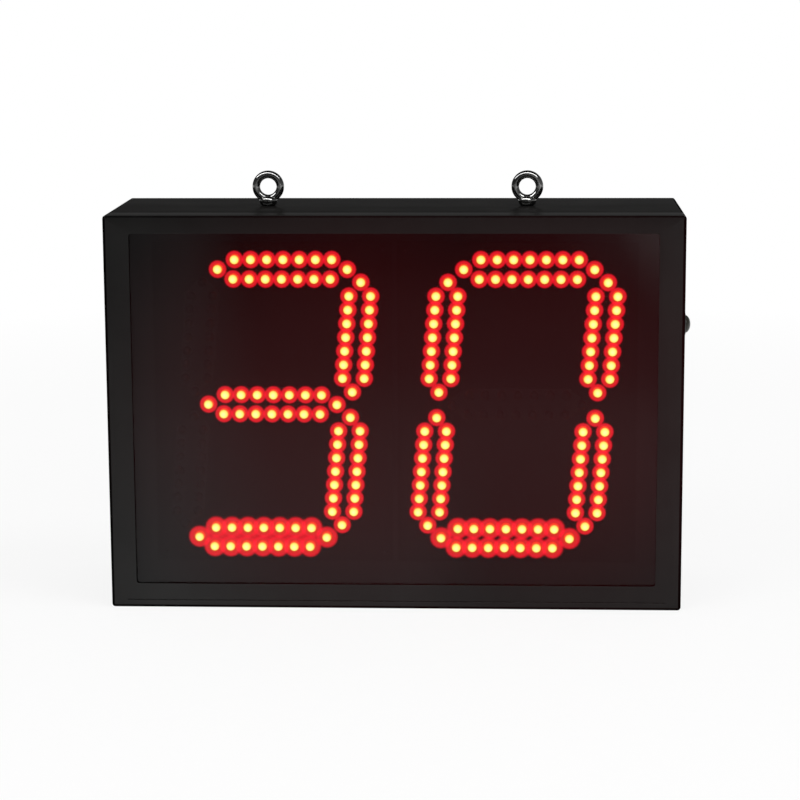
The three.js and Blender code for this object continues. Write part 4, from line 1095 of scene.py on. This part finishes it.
class SHOTCLOCK_OT_lamp_segments(bpy.types.Operator):
    """Make the fourteen lamp segments and the glow of the lit ones"""

    bl_idname = "shot_clock.lamp_segments"
    bl_label = "Lamp Segments"

    def execute(self, context):
        lamps = context.scene.shot_clock_lamps
        for digit, shining in LIT_SEGMENTS.items():
            for letter in "abcdefg":
                finish_name = "lit_lamp" if letter in shining else "dark_lamp"
                self.segment(lamps, digit, letter, finish_name)
            glow = bmesh.new()
            for letter in shining:
                self.add_glow(glow, lamps, digit, letter)
            self.finish_glow(lamps, digit, glow)
            dress({f"{digit}_digit_board": "black_board"})
        return {"FINISHED"}

    def grid(self, lamps, node):
        """The lamp pitch along a segment and the distance of its rows from its middle."""
        if node[-1] in LYING_SEGMENTS:
            return lamps.pitch_across, lamps.row_offset
        return lamps.pitch_up, lamps.column_offset

    def lamp_spots(self, lamps, node):
        """Two rows of lamps and a lamp at each end, as (along, aside) spots."""
        pitch, offset = self.grid(lamps, node)
        spots = [(step * pitch, side * offset) for step in range(-3, 4) for side in (-1, 1)]
        return [*spots, (-4 * pitch, 0), (4 * pitch, 0)]

    def placed(self, lamps, node, y, spots):
        """The (along, aside) spots of a segment as places on the slanted digit."""
        middle = middle_of(node)
        lying = node[-1] in LYING_SEGMENTS
        flat = [(along, aside) if lying else (aside, along) for along, aside in spots]
        return [(middle.x + x + lamps.slant * z, y, middle.z + z) for x, z in flat]

    def segment(self, lamps, digit, letter, finish_name):
        """One carrier strip with its sixteen lamps."""
        node = f"{digit}_segment_{letter}"
        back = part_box(node)[1].y
        bm = self.strip(lamps, node, back)
        places = self.placed(lamps, node, back - lamps.strip, self.lamp_spots(lamps, node))
        scattered(bm, self.lamp(lamps), places, finish=1)
        finished_piece(
            f"{digit}_lamps_{letter}", bm, node, finish_name, ["lamp_strip", finish_name]
        )

    def lamp(self, lamps):
        """A round lamp with a base rim and a half-round tip."""
        radius, stand = lamps.radius / MM, lamps.stand / MM
        rim, shoulder = radius * 1.1, stand - radius
        profile = [(0, 0), (rim, 0), (rim, 1), (radius, 1.1), (radius, shoulder)]
        return turned(profile + quarter_round(radius, shoulder, stand, 4), 12)

    def strip(self, lamps, node, back):
        """The six-cornered carrier strip that follows the lamps."""
        pitch, offset = self.grid(lamps, node)
        tip, shoulder = 4 * pitch + lamps.margin, 3 * pitch + lamps.margin / 2
        half = offset + lamps.margin
        corners = [
            (tip, 0), (shoulder, half), (-shoulder, half),
            (-tip, 0), (-shoulder, -half), (shoulder, -half),
        ]
        bm = bmesh.new()
        base = bm.faces.new([bm.verts.new(p) for p in self.placed(lamps, node, back, corners)])
        grown = bmesh.ops.extrude_face_region(bm, geom=[base])["geom"]
        top = [g for g in grown if isinstance(g, bmesh.types.BMVert)]
        bmesh.ops.translate(bm, vec=(0, -lamps.strip, 0), verts=top)
        bevelled(bm, bm.edges, lamps.strip_round, 2, clamp=True)
        return pointed_out(bm)

    def add_glow(self, bm, lamps, digit, letter):
        """A shallow dish of light round each lamp of a segment."""
        node = f"{digit}_segment_{letter}"
        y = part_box(node)[0].y + lamps.glow_depth
        drop, wall = lamps.glow_drop / MM, lamps.glow_wall / MM
        rim = (lamps.low_glow_radius if letter == "d" else lamps.glow_radius) / MM
        inner = lamps.radius / MM - 0.1
        dish = [(inner, 0), (rim, -drop), (rim, -drop - wall), (inner, -wall), (inner, 0)]
        places = self.placed(lamps, node, y, self.lamp_spots(lamps, node))
        scattered(bm, turned(dish, 16), places)
        if (digit, letter) == ("left", "d"):
            self.add_fill(bm, lamps, node, y)

    def add_fill(self, bm, lamps, node, y):
        """Light between the rows of the brightest segment."""
        fill, wall = lamps.fill_radius / MM, lamps.glow_wall / MM
        drop, rise = lamps.glow_drop / MM, lamps.fill_rise / MM
        spot = [(0, rise - drop), (fill, -drop), (fill, -drop - wall), (0, rise - drop - wall)]
        spots = [((step + 0.5) * lamps.pitch_across, 0) for step in range(-3, 3)]
        scattered(bm, turned(spot, 16), self.placed(lamps, node, y, spots))

    def finish_glow(self, lamps, digit, bm):
        """Gives the glow its reach: 0 beside a lamp and 1 at the rim."""
        piece = finished_piece(f"{digit}_lamp_glow", bm, None, "lit_lamp", ["lamp_glow"])
        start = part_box(f"{digit}_segment_a")[0].y + lamps.glow_depth
        reach = piece.data.attributes.new("reach", "FLOAT", "POINT")
        for vert, value in zip(piece.data.vertices, reach.data):
            value.value = min(1.0, (vert.co.y - start) / lamps.glow_drop)


class SHOTCLOCK_OT_eye_bolts(bpy.types.Operator):
    """Make the two plated eye bolts and finish what holds them"""

    bl_idname = "shot_clock.eye_bolts"
    bl_label = "Eye Bolts"

    def execute(self, context):
        hardware = context.scene.shot_clock_hardware
        for side in SIDES:
            node = f"eyebolt_{side}"
            seat = middle_of(node)
            seat.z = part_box(node)[0].z + hardware.shank_length
            eye = seat + Z_AXIS * hardware.ring_height
            bm = bmesh.new()
            put(bm, self.stem(hardware), Matrix.Translation(seat))
            put(bm, self.ring(hardware), Matrix.Translation(eye))
            finished_piece(f"eye_bolt_{side}", bm, node, "eyebolt_chrome", angle=50)
            dress({f"eyebolt_plate_{side}": "zinc_steel", f"eyebolt_nut_{side}": "zinc_steel"})
        return {"FINISHED"}

    def ring(self, hardware):
        """The eye, a round section spun about the middle of the ring."""
        bm = bmesh.new()
        circle(bm, X_AXIS * hardware.ring_radius, Z_AXIS, hardware.ring_section, 24)
        return spun(bm, Y_AXIS, 64)

    def stem(self, hardware):
        """Collar, flared neck and threaded shank."""
        shank, collar = hardware.shank_radius / MM, hardware.collar_radius / MM
        end, pitch = -hardware.shank_length / MM, hardware.thread_pitch / MM
        profile = [(0, end), (shank - 0.6, end), (shank, end + 0.8)]
        for turn in range(int((-end - 3) / pitch)):
            crest = end + 1.4 + turn * pitch
            profile += [(shank, crest), (shank - hardware.thread_depth / MM, crest + 0.62)]
        neck = [
            (shank, -0.6), (shank, 0), (collar - 2.2, 0), (collar - 0.7, 1.6), (collar, 4),
            (collar, 6.2), (collar - 0.9, 8.2), (collar - 3, 9.6), (3, 9.9),
        ]
        return turned([*profile, *rounded_profile(neck, 0.9), (0, 10)], 48)


class SHOTCLOCK_OT_push_button(bpy.types.Operator):
    """Make the push button's ring and cap"""

    bl_idname = "shot_clock.push_button"
    bl_label = "Push Button"

    def execute(self, context):
        hardware = context.scene.shot_clock_hardware
        seat = middle_of("button_bushing")
        seat.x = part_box("cabinet_body")[1].x
        outward = facing(X_AXIS, seat)
        ring = moved(self.ring(hardware, seat.x), outward)
        cap = moved(self.cap(hardware, seat.x), outward)
        finished_piece("button_ring", ring, "button_bushing", "black_plastic")
        finished_piece("button_dome", cap, "button_cap", "button_plastic", body="push_button")
        dress({"button_nut": "zinc_steel", "button_switch": "black_plastic"})
        return {"FINISHED"}

    def ring(self, hardware, wall):
        """The threaded bushing with its rounded and fluted ring."""
        low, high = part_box("button_bushing")
        back, top, rim = (low.x - wall) / MM, (high.x - wall) / MM, (high.z - low.z) / 2 / MM
        gap, barrel = hardware.button_gap / MM, hardware.barrel_radius / MM
        bore, stem_bore = hardware.cap_radius / MM + gap, hardware.stem_radius / MM + gap
        floor = gap + 2
        corners = [
            (barrel, back), (barrel, gap), (rim, gap), (rim, top - 1.3), (rim - 0.8, top),
            (bore, top), (bore, floor), (stem_bore, floor), (stem_bore, back),
        ]
        profile = rounded_profile(corners, 0.45)
        bm = turned([*profile, profile[0]], hardware.flutes * 4)
        self.flute(bm, hardware, rim, top)
        return bm

    def flute(self, bm, hardware, rim, top):
        """Draws in every fourth facet of the ring's rim."""
        for vert in bm.verts:
            radius = math.hypot(vert.co.x, vert.co.y) / MM
            if radius > rim - 0.1 and 0.9 < vert.co.z / MM < top - 1.4:
                turn = math.atan2(vert.co.y, vert.co.x) / (2 * math.pi) * hardware.flutes
                if abs(turn - round(turn)) < 0.1:
                    vert.co.xy *= hardware.flute_share

    def cap(self, hardware, wall):
        """The domed cap with its stem."""
        radius, reach = hardware.cap_radius / MM, hardware.cap_reach / MM
        stem, ease = hardware.stem_radius / MM, 0.4
        back, under = (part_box("button_cap")[0].x - wall) / MM, 5.1
        shoulder = reach - hardware.cap_dome / MM
        profile = [
            (0, back), (stem - ease, back), (stem, back + ease), (stem, under),
            (radius - ease, under), (radius, under + ease), (radius, shoulder),
        ]
        return turned(profile + quarter_round(radius, shoulder, reach, 12), 64)


class SHOTCLOCK_OT_screws(bpy.types.Operator):
    """Make the cover, side and bezel screws with their cross recesses"""

    bl_idname = "shot_clock.screws"
    bl_label = "Screws"

    def execute(self, context):
        hardware = context.scene.shot_clock_hardware
        for row in ROWS:
            for column in COLUMNS:
                self.screw(self.pan_head(hardware), f"rear_screw_{row}_{column}", Y_AXIS)
            for side, outward in zip(SIDES, (-X_AXIS, X_AXIS)):
                self.screw(self.pan_head(hardware), f"side_screw_{row}_{side}", outward)
        for side in SIDES:
            self.screw(self.sunk_head(hardware), f"bezel_screw_{side}", -Z_AXIS)
        return {"FINISHED"}

    def screw(self, head, node, outward):
        """One screw whose head looks outward, in the place of its node."""
        middle = middle_of(node)
        reach = abs((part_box(node)[1] - middle).dot(outward))
        bm = moved(head, facing(outward, middle + outward * reach))
        finished_piece(f"cross_{node}", bm, node, "screw_steel", angle=40)

    def pan_head(self, hardware):
        """A pan head on its shank, with its top at height zero."""
        radius, under = hardware.head_radius / MM, -hardware.head_height / MM
        shank, end = 2, under - 8
        profile = [
            (radius - 1.4, 0), (radius - 0.75, -0.16), (radius - 0.3, -0.55), (radius, -1.2),
            (radius, under), (shank, under), (shank, end), (0, end),
        ]
        return self.recessed(turned(profile, 24), arm=1.75, half=0.42, depth=1.3)

    def sunk_head(self, hardware):
        """A countersunk head, with its top at height zero."""
        radius = hardware.sunk_radius / MM
        shank, end = 1.5, -7
        profile = [(radius - 0.7, 0), (radius, 0), (shank, -1.2), (shank, end), (0, end)]
        return self.recessed(turned(profile, 24), arm=1.35, half=0.34, depth=1)

    def recessed(self, bm, arm, half, depth):
        """Fills the open top of a head round a cross recess that narrows downwards."""
        rim = [e for e in bm.edges if e.is_boundary]
        corners = []
        for quarter in range(4):
            turn = Matrix.Rotation(quarter * math.pi / 2, 3, "Z")
            for x, y in ((half, half), (arm, half), (arm, -half)):
                corners.append(bm.verts.new(turn @ Vector((x * MM, -y * MM, 0))))
        around = sorted(corners, key=lambda v: math.atan2(v.co.y, v.co.x))
        cross = [bm.edges.new(pair) for pair in zip(around, around[1:] + around[:1])]
        filled(bm, rim + cross)
        floor, edges = extruded(bm, cross)
        narrowed = 0.55
        bmesh.ops.scale(bm, vec=(narrowed, narrowed, 1), verts=floor)
        bmesh.ops.translate(bm, vec=(0, 0, -depth * MM), verts=floor)
        bmesh.ops.edgenet_fill(bm, edges=edges)
        bmesh.ops.recalc_face_normals(bm, faces=bm.faces)
        return bm


class SHOTCLOCK_OT_mains_module(bpy.types.Operator):
    """Make the mains module with its fuse drawer and power rocker"""

    bl_idname = "shot_clock.mains_module"
    bl_label = "Mains Module"

    def execute(self, context):
        middle = middle_of("mains_inlet")

        def is_pin(place):
            """Whether a face centre belongs to one of the three contact pins."""
            across, up = (place.x - middle.x) / MM, (place.z - middle.z) / MM
            pins, half_wide, half_high = ((-7, -17), (7, -17), (0, -13)), 1.05, 2.05
            return any(abs(across - x) < half_wide and abs(up - z) < half_high for x, z in pins)

        softened_copy(
            "mains_inlet", "mains_housing", "black_plastic", 0.25 * MM,
            finish_names=["black_plastic", "contact"], sort_faces=is_pin,
        )
        softened_copy(
            "fuse_drawer", "fuse_tray_front", "black_plastic", 0.25 * MM, body="fuse_tray"
        )
        softened_copy("power_rocker", "rocker_paddle", "rocker_red", 0.35 * MM, body="rocker")
        dress({"mains_fuse": "fuse_glass"})
        self.marks()
        return {"FINISHED"}

    def marks(self):
        """The on and off marks printed on the rocker's two slopes."""
        tilt = next(joint for joint in frame["joints"] if joint["child"] == "rocker")
        pivot = Vector(tilt["pos_m"])
        film = 0.08 * MM
        bar = bmesh.new()
        bmesh.ops.create_grid(bar, x_segments=1, y_segments=1, size=0.5)
        bmesh.ops.scale(bar, vec=(0.8 * MM, 3.6 * MM, 1), verts=bar.verts)
        bevelled(bar, bar.verts, 0.3 * MM, 3, affect="VERTICES", clamp=True)
        ring = turned([(1.2, 0), (1.8, 0)], 28)
        bm = bmesh.new()
        for mark, (out, rise), slope in (
            (ring, (5.28, 4.3), (0, 0.17, 6.61)), (bar, (6.42, -2.5), (0, 2.2, -6.23))
        ):
            up = Vector(slope).normalized()
            normal = X_AXIS.cross(up)
            normal = normal if normal.y > 0 else -normal
            turn = Matrix((up.cross(normal), up, normal)).transposed().to_4x4()
            place = pivot + Vector((0, out, rise)) * MM + normal * film
            put(bm, mark, Matrix.Translation(place) @ turn)
        piece = finished_piece("rocker_marks", bm, None, None, ["white_mark"], "rocker")
        solid = piece.modifiers.new("Film", "SOLIDIFY")
        solid.thickness = film
        solid.offset = 0


class SHOTCLOCK_OT_electronics(bpy.types.Operator):
    """Finish the chassis, boards, power supply, sounder and leads"""

    bl_idname = "shot_clock.electronics"
    bl_label = "Electronics"

    def execute(self, context):
        softened_copy("sounder", "sounder_can", "black_plastic", 0.4 * MM)
        dress({
            "chassis_plate": "chassis_aluminium",
            "controller_board": "green_board",
            "receiver_module": "green_board",
            "terminal_block": "terminal_green",
            "power_supply_case": "zinc_steel",
            "power_supply_terminals": "black_plastic",
            "ribbon_cable_left": "ribbon_grey",
            "ribbon_cable_right": "ribbon_grey",
            "mains_lead": "lead_sheath",
            "supply_lead": "lead_sheath",
        })
        return {"FINISHED"}


class SHOTCLOCK_OT_studio(bpy.types.Operator):
    """Make the floor, the softboxes, the even light and the camera"""

    bl_idname = "shot_clock.studio"
    bl_label = "Studio"

    def execute(self, context):
        studio = context.scene.shot_clock_studio
        self.floor()
        self.sky(context, studio)
        for name, place, size, power in (
            ("Key softbox", (-1.5, -2.0, 2.1), (1.4, 1.4), studio.key),
            ("Fill softbox", (1.9, -1.7, 1.1), (1.4, 1.4), studio.fill),
            ("Top box", (0.7, -0.5, 2.2), (0.9, 0.3), studio.overhead),
            ("Long strip", (-0.2, -0.7, 1.41), (3.0, 0.36), studio.strip),
        ):
            box = self.softbox(name, Vector(place), size, power)
            box.visible_diffuse = name != "Long strip"
            box.visible_glossy = name == "Long strip"
        self.camera(context, studio)
        context.scene.view_settings.view_transform = "Standard"
        return {"FINISHED"}

    def floor(self):
        """A wide pale floor, just under the object."""
        bm = bmesh.new()
        bmesh.ops.create_circle(
            bm, cap_ends=True, radius=40, segments=96,
            matrix=Matrix.Translation((0, 0, -0.2 * MM)),
        )
        mesh = to_mesh("studio_floor", bm)
        mesh.materials.append(self.floor_finish())
        paper = linked("studio_floor", mesh)

    def floor_finish(self):
        """Pale paper that goes over to plain white away from the object and its shadow."""
        material, tree, shader = bare_material("Pale paper")
        place = own_place(tree)
        away = put_node(tree, "VectorMath", {0: place}, operation="LENGTH").outputs["Value"]
        fibre = noise(tree, 60.0, 4.0, place)
        shade = ramp(tree, fibre, [(0.3, (0.83, 0.83, 0.83)), (0.7, (0.85, 0.85, 0.85))])
        # Painted shade: the paper's own colour darkens from 1 m to 3 m out, where the camera sees
        # mostly the white
        join(tree, shader, {
            "Base Color": blended(tree, ranged(tree, away, 1.0, 3.0), shade, (0.28, 0.28, 0.28)),
            "Roughness": 0.9,
            "Specular IOR Level": 0.1,
        })
        path = put_node(tree, "LightPath").outputs
        mirrored = path["Is Glossy Ray"]
        plain = ranged(tree, away, 0.5, 2.2, 0.84, 1.0)
        direct = larger(tree, path["Is Camera Ray"], path["Is Transmission Ray"])
        share = larger(tree, times(tree, direct, plain), mirrored)
        glare = times(tree, mirrored, self.mirrored_light(tree, place))
        level = plus(tree, glare, rest_of(tree, mirrored))
        white = put_node(tree, "Emission", {"Color": WHITE, "Strength": level})
        mix = put_node(tree, "MixShader", {0: share, 1: shader.outputs[0], 2: white.outputs[0]})
        join(tree, tree.nodes["Material Output"], {"Surface": mix.outputs[0]})
        return material

    def mirrored_light(self, tree, place):
        """What gloss sees of the floor: bright in front of the cabinet, most of all at the left."""
        right = axis_of(tree, place, "X")
        ahead = times(tree, axis_of(tree, place, "Y"), -1.0)
        gap = put_node(tree, "Math", {0: plus(tree, ahead, -1.9)}, operation="ABSOLUTE").outputs[0]
        leaning = plus(tree, right, times(tree, ahead, 0.13))
        beside = ranged(tree, right, 0.2, 0.4, 0.0, 0.2)
        level = plus(
            tree,
            ranged(tree, ahead, 0.2, 1.6, 0.72, 0.12),
            ranged(tree, ahead, 1.0, 3.0, 0.46, 0.06),
            ranged(tree, leaning, -0.09, -0.22, 0.0, 0.44),
            times(tree, beside, ranged(tree, gap, 0.4, 1.4, 0.0, 1.6)),
        )
        # Patches of light, or of shade where the light is negative: each fades in across a
        # leaning line and again along the way ahead
        for lean, start, end, light, near, far, least in (
            (0.0, 0.37, 0.47, 0.9, 1.9, 3.4, 0.0),
            (0.0, 0.02, 0.1, -0.38, 1.1, 0.35, 0.0),
            (0.16, -0.24, -0.275, -0.38, 2.8, 0.8, 0.2),
        ):
            across = plus(tree, right, times(tree, ahead, lean))
            across = ranged(tree, across, start, end, 0.0, light)
            level = plus(tree, level, times(tree, across, ranged(tree, ahead, near, far, least)))
        return larger(tree, level, 0.0)

    def sky(self, context, studio):
        """Even light, white to the camera; gloss sees it near the horizon behind the cabinet."""
        world = bpy.data.worlds.new("Studio light")
        context.scene.world = world
        world.use_nodes = True
        tree = world.node_tree
        tree.nodes.clear()
        path = put_node(tree, "LightPath").outputs
        direction = put_node(tree, "TexCoord").outputs["Generated"]
        low_down = ranged(
            tree, axis_of(tree, direction, "Z"), 0.1, 0.7, studio.mirrored, studio.mirrored * 0.16
        )
        behind = ranged(tree, axis_of(tree, direction, "Y"), 0.5, 0.95, 0.2, 1.0)
        right = ranged(tree, axis_of(tree, direction, "X"), 0.0, 0.2, 0.0, 0.4)
        band = times(tree, low_down, plus(tree, behind, right))
        glossy = times(tree, path["Is Glossy Ray"], band)
        even = times(tree, rest_of(tree, path["Is Glossy Ray"]), studio.sky)
        direct = larger(tree, path["Is Camera Ray"], path["Is Transmission Ray"])
        strength = larger(tree, direct, plus(tree, glossy, even))
        light = put_node(tree, "Background", {"Color": WHITE, "Strength": strength})
        put_node(tree, "OutputWorld", {"Surface": light.outputs[0]})

    def softbox(self, name, place, size, power):
        """An area lamp aimed at the cabinet."""
        lamp = bpy.data.lights.new(name, "AREA")
        lamp.shape = "RECTANGLE"
        lamp.size, lamp.size_y = size
        lamp.energy = power
        box = linked(name, lamp)
        box.location = place
        box.rotation_euler = (Z_AXIS * 0.2 - place).to_track_quat("-Z", "Y").to_euler()
        return box

    def camera(self, context, studio):
        """The camera at the photographed angle."""
        data = bpy.data.cameras.new("Camera")
        data.lens = studio.focal
        data.clip_end = 60
        pitch, roll, turn = studio.aim
        stand = Matrix.Translation(studio.eye)
        for angle, axis in ((turn, "Z"), (pitch, "X"), (roll, "Y"), (math.pi / 2, "X")):
            stand = stand @ Matrix.Rotation(angle, 4, axis)
        camera = linked("Camera", data)
        camera.matrix_world = stand
        context.scene.camera = camera


class SHOTCLOCK_PT_panel(bpy.types.Panel):
    """Lists the operators and the sizes of the shot clock"""

    bl_idname = "SHOTCLOCK_PT_panel"
    bl_label = "Shot Clock"
    bl_space_type = "VIEW_3D"
    bl_region_type = "UI"
    bl_category = "Shot Clock"

    def draw(self, context):
        layout = self.layout
        for operator in OPERATORS:
            layout.operator(operator.bl_idname)
        for holder in HOLDERS:
            settings = getattr(context.scene, holder)
            box = layout.box()
            box.label(text=holder.replace("_", " ").capitalize())
            for key in settings.__annotations__:
                box.prop(settings, key)


OPERATORS = (
    SHOTCLOCK_OT_cabinet_shell,
    SHOTCLOCK_OT_front_bezel,
    SHOTCLOCK_OT_rear_cover,
    SHOTCLOCK_OT_window,
    SHOTCLOCK_OT_lamp_segments,
    SHOTCLOCK_OT_eye_bolts,
    SHOTCLOCK_OT_push_button,
    SHOTCLOCK_OT_screws,
    SHOTCLOCK_OT_mains_module,
    SHOTCLOCK_OT_electronics,
    SHOTCLOCK_OT_studio,
)
HOLDERS = {
    "shot_clock_metal": ShotClockSheetMetal,
    "shot_clock_rear": ShotClockRearHoles,
    "shot_clock_lamps": ShotClockLamps,
    "shot_clock_hardware": ShotClockHardware,
    "shot_clock_colours": ShotClockColours,
    "shot_clock_studio": ShotClockStudio,
}


def register():
    for holder, group in HOLDERS.items():
        bpy.utils.register_class(group)
        setattr(bpy.types.Scene, holder, PointerProperty(type=group))
    for operator in (*OPERATORS, SHOTCLOCK_PT_panel):
        bpy.utils.register_class(operator)


def unregister():
    for operator in (SHOTCLOCK_PT_panel, *reversed(OPERATORS)):
        bpy.utils.unregister_class(operator)
    for holder, group in HOLDERS.items():
        delattr(bpy.types.Scene, holder)
        bpy.utils.unregister_class(group)


def main():
    register()
    bpy.ops.shot_clock.cabinet_shell()
    bpy.ops.shot_clock.front_bezel()
    bpy.ops.shot_clock.rear_cover()
    bpy.ops.shot_clock.window()
    bpy.ops.shot_clock.lamp_segments()
    bpy.ops.shot_clock.eye_bolts()
    bpy.ops.shot_clock.push_button()
    bpy.ops.shot_clock.screws()
    bpy.ops.shot_clock.mains_module()
    bpy.ops.shot_clock.electronics()
    bpy.ops.shot_clock.studio()


if __name__ == "__main__":
    main()
